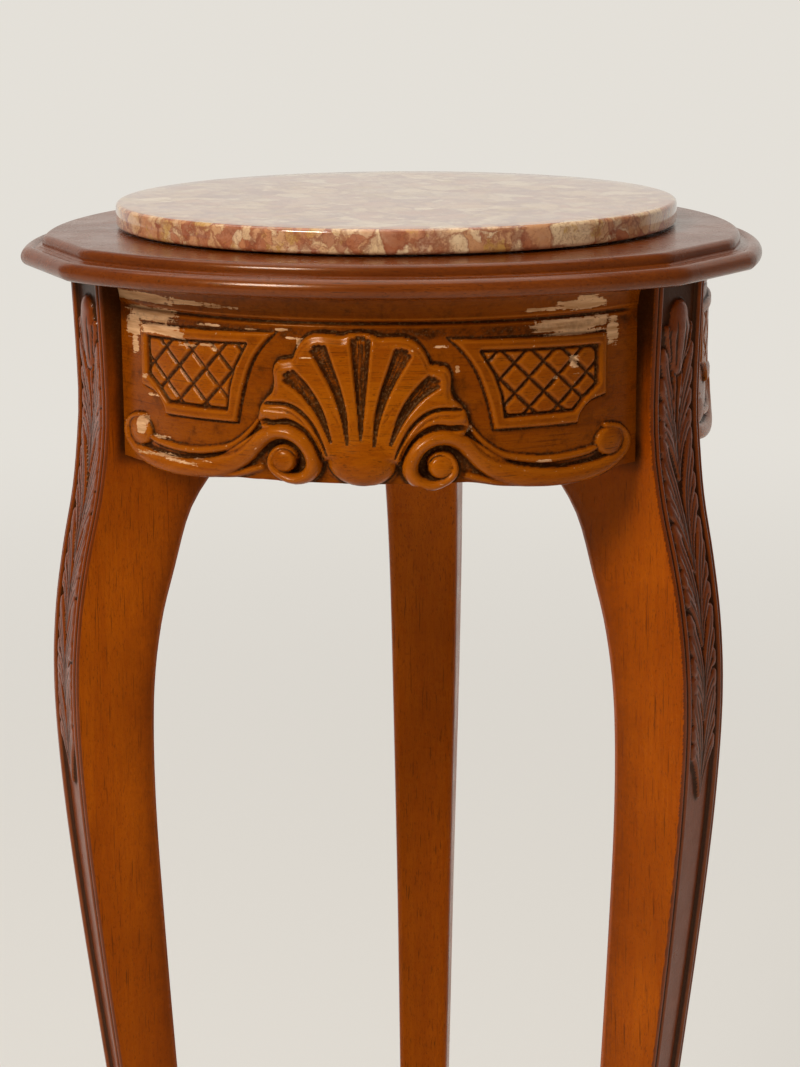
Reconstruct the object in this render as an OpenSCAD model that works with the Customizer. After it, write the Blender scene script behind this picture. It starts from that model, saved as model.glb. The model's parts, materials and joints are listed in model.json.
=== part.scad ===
// Three-legged pedestal stand with a loose round marble disc.
// The stand is drawn about its own upright axis, front rail towards -Y, feet at z = 0,
// and placed() then sets the middle of its bounding box over the origin.

/* [Overall] */
// Height from the floor to the top of the marble
stand_h = 720; // [680:5:780]

/* [Marble disc] */
// Diameter of the disc
marble_d = 250; // [230:1:262]
// Thickness of the disc
marble_t = 10.5; // [8:0.5:16]
// Radius of the polished edges
marble_edge_r = 2; // [0.5:0.5:3.5]
// Diameter of the pads under the disc
pad_d = 12; // [8:1:18]
// Thickness of the pads
pad_t = 0.9; // [0.6:0.1:2]
// Room between the pads and the loose disc
rest_gap = 0.05; // [0.02:0.01:0.2]
// Distance of each pad from the axis
pad_ring_r = 95; // [70:1:105]
// Number of pads
pad_count = 4; // [3:1:6]

/* [Top board] */
// Thickness of the board
top_t = 13; // [12:0.5:18]
// From the axis to the middle of a long side, at the edge of the flat
side_mid_r = 144.6; // [142:0.2:150]
// Radius that the long sides are bowed to
side_bow_r = 182; // [172:1:200]
// From the axis to a short side, at the edge of the flat
corner_mid_r = 153.2; // [151:0.2:158]
// Radius of the quarter round at the edge of the flat
edge_round_r = 3; // [2:0.25:4]
// Height of the small upright step below the quarter round
edge_step = 1.3; // [0.6:0.1:2]
// How far the nose stands out from the edge of the flat
nose_out = 12.5; // [11:0.25:15]
// Radius of the half-round nose
nose_r = 4.05; // [3.5:0.05:4.5]

/* [Rails] */
// Radius of the rails' outer face
rail_r = 139; // [138:0.5:141]
// Thickness of a rail
rail_t = 22; // [18:0.5:24]
// Height of a rail
rail_h = 77; // [74:0.5:90]
// How far the hollow under the top board flares outward
cove_out = 6; // [3:0.5:6]
// Height of that hollow
cove_h = 9.5; // [6:0.5:9.5]
// Height of the cut line above the rail's lower edge
line_up = 65; // [62:0.5:67]
// Depth of that cut line
line_deep = 1.2; // [0.6:0.1:2]

/* [Carving] */
// Height of the shell's hub above the rail's lower edge
hub_up = 9.5; // [7:0.5:12]
// Radius of the shell at its longest lobes
shell_r = 56; // [50:0.5:57]
// How far the shell stands out from the rail
shell_out = 4.5; // [3:0.25:6]
// Radius of the round boss at the foot of the shell
boss_r = 16; // [14:0.5:18]
// How far the boss stands out from the rail
boss_out = 7.5; // [5:0.5:9]
// Sideways distance from the shell's middle to each volute
volute_x = 29.5; // [28:0.5:31]
// Radius of a volute
volute_r = 12; // [10:0.5:13]
// How far a volute stands out from the rail
volute_out = 6; // [4:0.25:7]
// Radius of the eye of a volute
eye_r = 3.4; // [2.5:0.1:4]
// Sideways distance from a volute to the knob at the scroll's end
scroll_l = 70; // [64:0.5:71]
// How far the scroll beside a volute stands out
scroll_out = 3.8; // [2.5:0.1:5]
// Radius of the knob at the scroll's end
knob_r = 4.8; // [4:0.1:5.5]
// Width of a trellis panel along its top
panel_w = 63; // [56:0.5:64]
// Height of a trellis panel
panel_h = 38; // [32:0.5:40]
// Height of its lower edge above the rail's lower edge
panel_up = 21.5; // [18:0.5:24]
// Width of a trellis panel's frame
frame_w = 5; // [3:0.5:7]
// How far a trellis panel's frame stands out
frame_out = 1.8; // [1:0.1:3]
// How far the diamonds inside the frame stand out
diamond_out = 0.9; // [0.4:0.1:1.5]
// Distance from one diamond to the next
diamond_pitch = 8.8; // [7:0.1:12]
// Width of the cuts between diamonds
diamond_cut = 1.3; // [0.8:0.1:2]

/* [Legs] */
// Width of a leg's upper block, across the carved face
leg_w = 41; // [39:0.5:42]
// Width of a leg at its ankle
ankle_w = 22.5; // [20:0.5:26]
// From the axis to the back of the upper block
block_back_r = 88; // [84:1:92]
// From the axis to the outer face of the upper block
block_face_r = 145.5; // [144.5:0.25:148]
// From the axis to the fullest point of the knee
knee_r = 162; // [156:0.5:166]
// Thickness of the leg behind the knee
knee_deep = 36.5; // [32:0.5:42]
// From the axis to the outer face of the ankle
ankle_r = 129; // [124:0.5:134]
// Thickness of the ankle
ankle_deep = 24; // [21:0.5:28]
// From the axis to the tip of the toe
toe_r = 153; // [146:0.5:156]
// Length of the sole that rests on the floor
sole_l = 26; // [20:0.5:30]
// Height of the ankle above the floor
ankle_up = 135; // [120:5:150]
// Width of the raised margin beside the carved face
margin_w = 4; // [3:0.25:5]
// Depth of the carved face below its margins
field_deep = 1.2; // [0.6:0.1:1.8]

/* [Joinery] */
// Diameter of the dowels
dowel_d = 8; // [6:0.5:9]
// Length of the dowels
dowel_l = 34; // [28:1:36]
// From a rail's outer face in to the line of the dowels
dowel_in = 13; // [10:0.5:15]
// Height of the lower dowel above the rail's lower edge
dowel_low_up = 18; // [14:1:24]
// Height of the upper dowel above the rail's lower edge
dowel_high_up = 54; // [46:1:58]
// Room round a dowel and a screw for glue and paint
glue_gap = 0.15; // [0.05:0.05:0.3]
// Side of the triangular glue blocks
glue_block_w = 26; // [22:1:30]
// Height of the glue blocks
glue_block_h = 40; // [30:1:60]
// Diameter of the screws' shanks
screw_d = 4; // [3:0.5:4.5]
// Diameter of the screws' heads
screw_head_d = 8; // [6:0.5:8.5]
// How far the screws go up into the top board
screw_bite = 8.5; // [6:0.5:10]
// Depth of the screw heads inside the glue blocks
screw_sunk = 14; // [8:1:18]

/* [Hidden] */
$fn = 96;

// Levels above the floor
pad_z = stand_h - marble_t - rest_gap - pad_t;
board_z = pad_z - top_t;
rail_z = board_z - rail_h;

// Bearings of the three legs and of the rails between them
third = 120;
leg_rear = 90;
leg_left = leg_rear + third;
leg_right = leg_left + third;
bearings = [leg_left, leg_right, leg_rear];

rail_in_r = rail_r - rail_t;
dowel_ring_r = rail_r - dowel_in;
leg_half = leg_w / 2;
field_low_z = 22;
back_reach = corner_mid_r + nose_out;
front_reach = side_mid_r + nose_out;
centre_y = (back_reach - front_reach) / 2;
// Longer than any cut, and room below the rail for the carving that hangs under it
far = 400;
carving_drop = 20;

wood = [0.56, 0.29, 0.10];
wood_dark = [0.42, 0.20, 0.08];
pale_wood = [0.80, 0.66, 0.45];
stone = [0.80, 0.65, 0.57];
felt = [0.16, 0.14, 0.13];
steel = [0.72, 0.70, 0.62];

// A smooth curve through points: Catmull-Rom, with its ends held
function pick(p, i) = p[max(0, min(len(p) - 1, i))];
function blend4(a, b, c, d, t) =
    0.5 * (2 * b + (c - a) * t + (2 * a - 5 * b + 4 * c - d) * t * t
        + (3 * b - a - 3 * c + d) * t * t * t);
function curve(p, steps = 4) = concat(
    [for (i = [0:len(p) - 2], s = [0:steps - 1])
        blend4(pick(p, i - 1), pick(p, i), pick(p, i + 1), pick(p, i + 2), s / steps)],
    [p[len(p) - 1]]);
function reversed(p) = [for (i = [len(p) - 1:-1:0]) p[i]];
function flipped(p) = [for (q = p) [-q[0], q[1]]];

module placed() {
    translate([0, -centre_y, 0]) children();
}

// Marble disc and its pads
module marble_disc() {
    core_r = marble_d / 2 - marble_edge_r;
    color(stone) translate([0, 0, stand_h - marble_t]) rotate_extrude()
        union() {
            square([core_r, marble_t]);
            translate([core_r - 1, marble_edge_r])
                square([marble_edge_r + 1, marble_t - 2 * marble_edge_r]);
            for (z = [marble_edge_r, marble_t - marble_edge_r])
                translate([core_r, z]) circle(marble_edge_r);
        }
}

module marble_pads() {
    color(felt)
        for (i = [0:pad_count - 1])
            rotate(45 + i * 360 / pad_count)
                translate([pad_ring_r, 0, pad_z]) cylinder(d = pad_d, h = pad_t);
}

// Section of the top board's edge, from the underside up and round to the flat:
// [how far out from the edge of the flat, height above the underside]
nose_x = nose_out - nose_r;
nose_end = 125;
step_y = top_t - edge_round_r - edge_step;
hollow_end = [nose_x + nose_r * cos(nose_end), nose_r + nose_r * sin(nose_end)];
edge_section = concat(
    [for (i = [0:10]) let (a = -90 + (nose_end + 90) * i / 10)
        [nose_x + nose_r * cos(a), nose_r + nose_r * sin(a)]],
    [[0.6 * edge_round_r + 0.4 * hollow_end[0], 0.25 * step_y + 0.75 * hollow_end[1]]],
    [[edge_round_r, step_y]],
    [for (a = [0:18:90])
        [edge_round_r * cos(a), top_t - edge_round_r + edge_round_r * sin(a)]]);

// Plan of the board at one level: three bowed sides, their ends joined by the short sides
side_steps = 16;
bow_back = side_bow_r - side_mid_r;
function bow_end(out) =
    asin((corner_mid_r + out + bow_back / 2) / (side_bow_r + out)) - 30;
function turned(q, a) = [q[0] * cos(a) - q[1] * sin(a), q[0] * sin(a) + q[1] * cos(a)];
function board_plan(out) = [for (side = [0:2], i = [0:side_steps]) let (
    r = side_bow_r + out,
    a = bow_end(out) * (2 * i / side_steps - 1))
    turned([r * sin(a), bow_back - r * cos(a)], side * third)];

module top_blank() {
    around = 3 * (side_steps + 1);
    levels = len(edge_section);
    polyhedron(
        points = [for (e = edge_section, q = board_plan(e[0])) [q[0], q[1], e[1]]],
        faces = concat(
            [[for (i = [0:around - 1]) i]],
            [[for (i = [around - 1:-1:0]) (levels - 1) * around + i]],
            [for (k = [0:levels - 2], i = [0:around - 1]) let (
                a = k * around + i,
                b = k * around + (i + 1) % around)
                each [[a, b + around, b], [a, a + around, b + around]]]));
}

module top_board() {
    color(wood_dark) translate([0, 0, board_z]) difference() {
        top_blank();
        translate([0, 0, -board_z]) screw_places()
            cylinder(d = screw_d + 2 * glue_gap, h = screw_bite + 1, $fn = 32);
    }
}

// Rails: the wedge between two legs, cut from a turned ring
module rail_wedge() {
    apex_y = -leg_half / cos(30);
    arm = far * [cos(30), -sin(30)];
    translate([0, 0, rail_z - carving_drop]) linear_extrude(rail_h + carving_drop)
        polygon([[0, apex_y], [arm[0], apex_y + arm[1]], [-arm[0], apex_y + arm[1]]]);
}

module rail_section() {
    line_half = 2.1;
    cove_y = rail_h - cove_h;
    difference() {
        polygon(concat(
            [[rail_in_r, 0], [rail_r, 0], [rail_r, cove_y]],
            curve([
                [rail_r + cove_out * 0.1, cove_y],
                [rail_r + cove_out * 0.35, cove_y + cove_h * 0.6],
                [rail_r + cove_out, rail_h]
            ]),
            [[rail_in_r, rail_h]]));
        polygon([
            [rail_r + 1, line_up - line_half],
            [rail_r - line_deep, line_up],
            [rail_r + 1, line_up + line_half]
        ]);
    }
}

// A flat outline pushed onto the rail's round face; y is up from the lower edge
module on_face(out) {
    root = 2;
    intersection() {
        translate([0, 0, rail_z]) rotate([90, 0, 0]) linear_extrude(far) children();
        translate([0, 0, rail_z - carving_drop]) difference() {
            cylinder(r = rail_r + out, h = rail_h + carving_drop);
            translate([0, 0, -1]) cylinder(r = rail_r - root, h = rail_h + carving_drop + 2);
        }
    }
}

// A point on the shell's surface, and a cone from one such point to another
function face_point(x, y, out) = [x, -sqrt(pow(rail_r + out, 2) - x * x), rail_z + y];
module cone_between(p, q, r1, r2) {
    v = q - p;
    length = norm(v);
    translate(p) rotate([0, acos(v[2] / length), atan2(v[1], v[0])])
        cylinder(h = length, r1 = r1, r2 = r2, $fn = 32);
}

// Lobes of the shell on one side: [from angle, to angle, radius at the notch, at the crown]
shell_lobes = [
    [-8, 8, 0.91 * shell_r, 0.96 * shell_r],
    [8, 35, 0.88 * shell_r, shell_r],
    [35, 53, 0.84 * shell_r, 0.95 * shell_r],
    [53, 78, 0.75 * shell_r, 0.86 * shell_r]
];
function lobe_r(l, u) = l[2] + (l[3] - l[2]) * pow(sin(180 * u), 0.7);
function lobe_points(l, steps = 8) =
    [for (i = [0:steps]) let (u = i / steps, a = l[0] + (l[1] - l[0]) * u)
        [sin(a) * lobe_r(l, u), hub_up + cos(a) * lobe_r(l, u)]];
shell_right = [for (l = [1:3]) each lobe_points(shell_lobes[l])];

module shell_outline() {
    polygon(concat(
        [[-8, 0], [8, 0]],
        [[volute_x - 4, hub_up + 6]],
        reversed(shell_right),
        reversed(lobe_points(shell_lobes[0])),
        flipped(shell_right),
        [[4 - volute_x, hub_up + 6]]));
}

// Hollow flutes of the shell: [angle at the foot, at the head, how far out the head is]
flutes = [[0, 0, 0.88], [34, 20.5, 0.85], [56, 42.5, 0.78]];
flute_w = 7;
module shell_flute(f) {
    foot_r = 0.2 * shell_r + 0.07 * f[0];
    head_r = f[2] * shell_r;
    cone_between(
        face_point(sin(f[0]) * foot_r, hub_up + cos(f[0]) * foot_r, shell_out + 0.8),
        face_point(sin(f[1]) * head_r, hub_up + cos(f[1]) * head_r, shell_out + 1.2),
        0.9, flute_w / 2);
}

module shell() {
    difference() {
        on_face(shell_out) shell_outline();
        for (f = flutes, side = [1, -1])
            if (f[0] > 0 || side > 0) mirror([side < 0 ? 1 : 0, 0, 0]) shell_flute(f);
    }
    intersection() {
        translate([0, boss_r - rail_r - boss_out, rail_z + hub_up + 4]) sphere(boss_r);
        translate([0, 0, rail_z]) rotate([90, 0, 0])
            linear_extrude(far) translate([-boss_r, -1.5]) square([2 * boss_r, 40]);
    }
}

// A volute with its spiral cut, and the raised eye
module spiral_cut() {
    turn = 400;
    steps = 26;
    cut_w = 1.5;
    start_r = volute_r - 3.1;
    points = [for (i = [0:steps]) let (
        a = turn * i / steps - 40,
        r = start_r - (start_r - eye_r - 0.4) * i / steps)
        [r * cos(a), r * sin(a), a]];
    polygon(concat(
        [for (p = points) [p[0], p[1]]],
        reversed([for (p = points) [p[0] - cut_w * cos(p[2]), p[1] - cut_w * sin(p[2])]])));
}

module volute() {
    on_face(volute_out) translate([volute_x, hub_up]) difference() {
        circle(volute_r);
        spiral_cut();
    }
    on_face(volute_out - 2.5) translate([volute_x, hub_up]) circle(volute_r - 1);
}

// The scroll beside a volute: lower edge out, upper edge back
function beside_volute(q) = [volute_x, hub_up] + scroll_l * q;
scroll_lower = [for (q = [
    [0.12, -0.12], [0.39, -0.155], [0.59, -0.18], [0.84, -0.173], [0.99, -0.115], [1.05, 0]
]) beside_volute(q)];
scroll_upper = [for (q = [
    [0.92, -0.02], [0.74, -0.043], [0.49, -0.015], [0.29, 0.065], [0.12, 0.165]
]) beside_volute(q)];
knob_at = beside_volute([1, 0.03]);
module scroll() {
    on_face(scroll_out) {
        polygon(concat(curve(scroll_lower, 3), curve(scroll_upper, 3)));
        translate(knob_at) circle(knob_r);
    }
}

// A trellis panel, measured from the corner at its foot beside the scroll's end:
// its frame is drawn in at the foot and hollowed beside the shell
panel_x = 97;
function in_panel(x, y) = [panel_x - x * panel_w, panel_up + y * panel_h];
frame_outline = concat(
    curve([in_panel(1, 1), in_panel(0.785, 0.54), in_panel(0.72, 0)], 3),
    curve([in_panel(0.15, 0), in_panel(0.095, 0.2), in_panel(0, 0.26)], 3),
    [in_panel(0, 0.96)]);
field_outline = [
    in_panel(0.72, 0) + [frame_w, frame_w],
    in_panel(0.15, 0) + [-frame_w / 2, frame_w],
    in_panel(0, 0.26) + [-frame_w, frame_w / 2],
    in_panel(0, 0.96) - [frame_w, frame_w],
    in_panel(1, 1) + [2.6 * frame_w, -frame_w]
];
module trellis_panel() {
    on_face(frame_out) difference() {
        polygon(frame_outline);
        polygon(field_outline);
    }
    on_face(diamond_out) intersection() {
        polygon(field_outline);
        difference() {
            translate([panel_x - panel_w, panel_up]) square([panel_w, panel_h]);
            for (i = [-2:8], lean = [45, -45])
                translate([panel_x - i * diamond_pitch, panel_up + panel_h / 2]) rotate(lean)
                    square([diamond_cut, 2 * panel_w], center = true);
        }
    }
}

module rail() {
    difference() {
        union() {
            intersection() {
                translate([0, 0, rail_z]) rotate_extrude() rail_section();
                rail_wedge();
            }
            intersection() {
                union() {
                    shell();
                    for (m = [0, 1]) mirror([m, 0, 0]) {
                        volute();
                        scroll();
                        trellis_panel();
                    }
                }
                rail_wedge();
            }
        }
        dowel_places() dowel_hole();
    }
}

// Legs, drawn along +X and turned to their bearings
leg_drop = rail_z - ankle_up;
knee_in_r = knee_r - knee_deep;
ankle_in_r = ankle_r - ankle_deep;
function down(share) = rail_z - share * leg_drop;
function foot(share) = share * ankle_up;
function between(low, high, share) = low + share * (high - low);
leg_outer = [
    [board_z, block_face_r + 1.5],
    [between(rail_z, board_z, 0.5), block_face_r],
    [between(rail_z, board_z, 0.16), block_face_r],
    [down(0.037), between(block_face_r, knee_r, 0.22)],
    [down(0.093), between(ankle_r, knee_r, 0.79)],
    [down(0.155), between(ankle_r, knee_r, 0.94)],
    [down(0.228), knee_r],
    [down(0.327), between(ankle_r, knee_r, 0.933)],
    [down(0.451), between(ankle_r, knee_r, 0.758)],
    [down(0.575), between(ankle_r, knee_r, 0.545)],
    [down(0.70), between(ankle_r, knee_r, 0.327)],
    [down(0.845), between(ankle_r, knee_r, 0.109)],
    [ankle_up, ankle_r],
    [foot(0.667), between(ankle_r, toe_r, 0.09)],
    [foot(0.519), between(ankle_r, toe_r, 0.333)],
    [foot(0.267), between(ankle_r, toe_r, 0.667)],
    [foot(0.104), between(ankle_r, toe_r, 0.97)],
    [foot(0.037), between(ankle_r, toe_r, 0.99)],
    [0, between(ankle_r, toe_r, 0.833)]
];
leg_inner = [
    [0, toe_r - sole_l],
    [foot(0.104), between(ankle_in_r, toe_r, 0.312)],
    [foot(0.333), between(ankle_in_r, toe_r, 0.115)],
    [foot(0.63), between(ankle_in_r, toe_r, 0.033)],
    [ankle_up, ankle_in_r],
    [down(0.845), between(ankle_in_r, knee_in_r, 0.156)],
    [down(0.70), between(ankle_in_r, knee_in_r, 0.468)],
    [down(0.575), between(ankle_in_r, knee_in_r, 0.673)],
    [down(0.451), between(ankle_in_r, knee_in_r, 0.854)],
    [down(0.327), knee_in_r],
    [down(0.228), between(ankle_in_r, knee_in_r, 0.985)],
    [down(0.161), between(block_back_r, knee_in_r, 0.883)],
    [down(0.11), between(block_back_r, knee_in_r, 0.707)],
    [down(0.058), between(block_back_r, knee_in_r, 0.507)],
    [down(0.027), between(block_back_r, knee_in_r, 0.253)],
    [rail_z, block_back_r]
];
leg_width = [
    [0, between(ankle_w, leg_w, 0.162)],
    [foot(0.222), between(ankle_w, leg_w, 0.151)],
    [foot(0.519), between(ankle_w, leg_w, 0.043)],
    [ankle_up, ankle_w],
    [down(0.845), between(ankle_w, leg_w, 0.054)],
    [down(0.70), between(ankle_w, leg_w, 0.173)],
    [down(0.575), between(ankle_w, leg_w, 0.276)],
    [down(0.451), between(ankle_w, leg_w, 0.405)],
    [down(0.327), between(ankle_w, leg_w, 0.54)],
    [down(0.199), between(ankle_w, leg_w, 0.66)],
    [down(0.103), between(ankle_w, leg_w, 0.762)],
    [down(0.037), between(ankle_w, leg_w, 0.897)],
    [rail_z, leg_w]
];
outer_line = [for (p = curve(leg_outer)) [p[1], p[0]]];
inner_line = [for (p = curve(leg_inner)) [p[1], p[0]]];
width_line = [for (p = curve(leg_width)) [p[1] / 2, p[0]]];

// Side view of a leg, and its front view with each side drawn in by margin
module leg_side() {
    polygon(concat(outer_line, inner_line, [[block_back_r, board_z]]));
}
module leg_front(margin = 0) {
    line = [for (p = width_line) [p[0] - margin, p[1]]];
    polygon(concat(
        line, [[leg_half - margin, board_z]],
        [[margin - leg_half, board_z]], reversed(flipped(line))));
}

module leg_blank() {
    intersection() {
        rotate([90, 0, 0]) translate([0, 0, -far / 2]) linear_extrude(far) leg_side();
        rotate([90, 0, 90]) linear_extrude(far) leg_front();
    }
}

// What is carved away between the margins of the outer face
module leg_field() {
    skin = concat(
        [for (p = outer_line) p - [field_deep, 0]],
        reversed([for (p = outer_line) p + [5, 0]]));
    intersection() {
        rotate([90, 0, 0]) translate([0, 0, -far / 2]) linear_extrude(far) polygon(skin);
        rotate([90, 0, 90]) linear_extrude(far) intersection() {
            leg_front(margin_w);
            translate([-leg_w, field_low_z]) square([2 * leg_w, board_z - field_low_z - 5]);
        }
    }
}

module leg(bearing) {
    color(wood) difference() {
        rotate(bearing) difference() {
            leg_blank();
            leg_field();
        }
        dowel_places() dowel_hole();
    }
}

// Joinery
module dowel_places() {
    for (bearing = bearings, side = [1, -1], up = [dowel_low_up, dowel_high_up])
        rotate(bearing) translate([dowel_ring_r, side * leg_half, rail_z + up])
            rotate([90, 0, 0]) children();
}
module dowel_hole() {
    cylinder(d = dowel_d + 2 * glue_gap, h = dowel_l + 1, center = true, $fn = 32);
}
module rail_dowels() {
    color(pale_wood) dowel_places()
        cylinder(d = dowel_d, h = dowel_l, center = true, $fn = 32);
}

// Glue blocks fill the corner between a leg's side and the rail's inner face
corner_x = sqrt(rail_in_r * rail_in_r - leg_half * leg_half);
screw_in = 7.5;
module glue_block_at(bearing, side) {
    swing = asin(leg_half / rail_in_r) + glue_block_w / rail_in_r * 180 / PI;
    color(pale_wood) difference() {
        rotate(bearing) mirror([0, side < 0 ? 1 : 0, 0])
            translate([0, 0, board_z - glue_block_h]) linear_extrude(glue_block_h)
                intersection() {
                    polygon([
                        [corner_x - glue_block_w, leg_half],
                        [rail_in_r, leg_half],
                        (rail_in_r + 3) * [cos(swing), sin(swing)]
                    ]);
                    circle(rail_in_r - glue_gap);
                }
        screw_places() translate([0, 0, -glue_block_h - 1]) {
            cylinder(d = screw_d + 2 * glue_gap, h = glue_block_h + 2, $fn = 32);
            cylinder(d = screw_head_d + 2 * glue_gap, h = screw_sunk + 1, $fn = 32);
        }
    }
}
module glue_block(number) {
    glue_block_at(bearings[floor((number - 1) / 2)], number % 2 == 1 ? 1 : -1);
}

// Screws stand in the glue blocks and bite into the top board's underside
module screw_places() {
    for (bearing = bearings, side = [1, -1])
        rotate(bearing)
            translate([corner_x - screw_in, side * (leg_half + screw_in), board_z]) children();
}
module top_screws() {
    head_h = 2.4;
    head_z = screw_sunk - glue_block_h;
    color(steel) screw_places() {
        translate([0, 0, head_z - head_h]) cylinder(d = screw_head_d, h = head_h, $fn = 32);
        translate([0, 0, head_z - 0.5])
            cylinder(d = screw_d, h = screw_bite - head_z + 0.5, $fn = 32);
    }
}

placed() marble_disc();
placed() marble_pads();
placed() top_board();
placed() color(wood) rail();  // rail_front
placed() color(wood) rotate(third) rail();  // rail_right
placed() color(wood) rotate(2 * third) rail();  // rail_left
placed() leg(leg_left);  // leg_front_left
placed() leg(leg_right);  // leg_front_right
placed() leg(leg_rear);  // leg_back
placed() glue_block(1);  // glue_block_1
placed() glue_block(2);  // glue_block_2
placed() glue_block(3);  // glue_block_3
placed() glue_block(4);  // glue_block_4
placed() glue_block(5);  // glue_block_5
placed() glue_block(6);  // glue_block_6
placed() rail_dowels();
placed() top_screws();
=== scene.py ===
import json
import math

import bmesh
import bpy
import numpy as np
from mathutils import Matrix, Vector

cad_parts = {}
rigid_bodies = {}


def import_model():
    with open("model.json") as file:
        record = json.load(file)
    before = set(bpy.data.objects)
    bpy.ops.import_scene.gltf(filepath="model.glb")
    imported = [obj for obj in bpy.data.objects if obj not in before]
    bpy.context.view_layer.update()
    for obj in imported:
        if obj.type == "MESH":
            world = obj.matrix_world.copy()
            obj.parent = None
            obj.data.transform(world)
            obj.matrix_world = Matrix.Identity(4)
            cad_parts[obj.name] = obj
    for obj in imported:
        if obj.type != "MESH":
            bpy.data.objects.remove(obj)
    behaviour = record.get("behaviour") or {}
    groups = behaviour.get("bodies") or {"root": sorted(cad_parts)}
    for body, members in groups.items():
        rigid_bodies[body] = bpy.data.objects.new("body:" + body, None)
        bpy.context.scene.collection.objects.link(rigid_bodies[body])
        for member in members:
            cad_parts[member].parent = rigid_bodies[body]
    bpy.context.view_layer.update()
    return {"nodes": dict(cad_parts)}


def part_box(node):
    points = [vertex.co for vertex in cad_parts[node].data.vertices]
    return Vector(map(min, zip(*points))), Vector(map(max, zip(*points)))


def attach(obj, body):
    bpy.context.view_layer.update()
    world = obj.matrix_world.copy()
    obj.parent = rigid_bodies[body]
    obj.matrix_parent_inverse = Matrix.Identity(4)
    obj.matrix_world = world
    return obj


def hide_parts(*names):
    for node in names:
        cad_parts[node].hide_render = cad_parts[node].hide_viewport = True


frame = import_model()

# Sizes are in millimetres, as on the drawing, and become metres where a point is placed
MM = 0.001

disc_low, disc_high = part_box("marble_disc")
board_low, board_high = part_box("top_board")

AXIS = Vector(((disc_low.x + disc_high.x) / 2, (disc_low.y + disc_high.y) / 2, 0))
DISC_R = (disc_high.x - disc_low.x) / 2 / MM
DISC_Z = disc_low.z / MM
DISC_T = (disc_high.z - disc_low.z) / MM
BOARD_Z = board_low.z / MM
BOARD_T = (board_high.z - board_low.z) / MM
# The rail's height and half a leg's width, as in the solids, and a third of a turn
RAIL_H = 77
RAIL_Z = BOARD_Z - RAIL_H
LEG_HALF = 20.5
THIRD = 120


# Curves and relief

def smooth_curve(points, steps=8):
    """Catmull-Rom curve through points, its ends held."""
    p = np.array(points, float)
    a = np.vstack([p[:1], p[:-2]])
    b, c = p[:-1], p[1:]
    d = np.vstack([p[2:], p[-1:]])
    t = np.linspace(0, 1, steps, endpoint=False)[None, :, None]
    a, b, c, d = (q[:, None, :] for q in (a, b, c, d))
    curve = 0.5 * (2 * b + (c - a) * t + (2 * a - 5 * b + 4 * c - d) * t ** 2
                   + (3 * b - a - 3 * c + d) * t ** 3)
    return np.vstack([curve.reshape(-1, p.shape[1]), p[-1:]])


def arc(middle, radius, start, end, step):
    """Points round a middle, at whole degrees."""
    turns = [math.radians(a) for a in range(start, end + (1 if step > 0 else -1), step)]
    return [(middle[0] + radius * math.cos(a), middle[1] + radius * math.sin(a)) for a in turns]


def ease(low, high, value):
    """From 0 at low to 1 at high, with soft ends."""
    t = np.clip((value - low) / (high - low), 0, 1)
    return t * t * (3 - 2 * t)


def blurred(field, cells):
    """Gaussian blur of a two-way grid, cells wide, its edges held."""
    reach = max(1, int(round(2.5 * cells)))
    weights = np.exp(-0.5 * (np.arange(-reach, reach + 1) / cells) ** 2)
    weights /= weights.sum()
    for axis in (0, 1):
        pad = [(reach, reach) if axis == k else (0, 0) for k in (0, 1)]
        wide = np.pad(field, pad, mode="edge")
        size = field.shape[axis]
        field = sum(w * np.take(wide, np.arange(k, k + size), axis)
                    for k, w in enumerate(weights))
    return field


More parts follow.
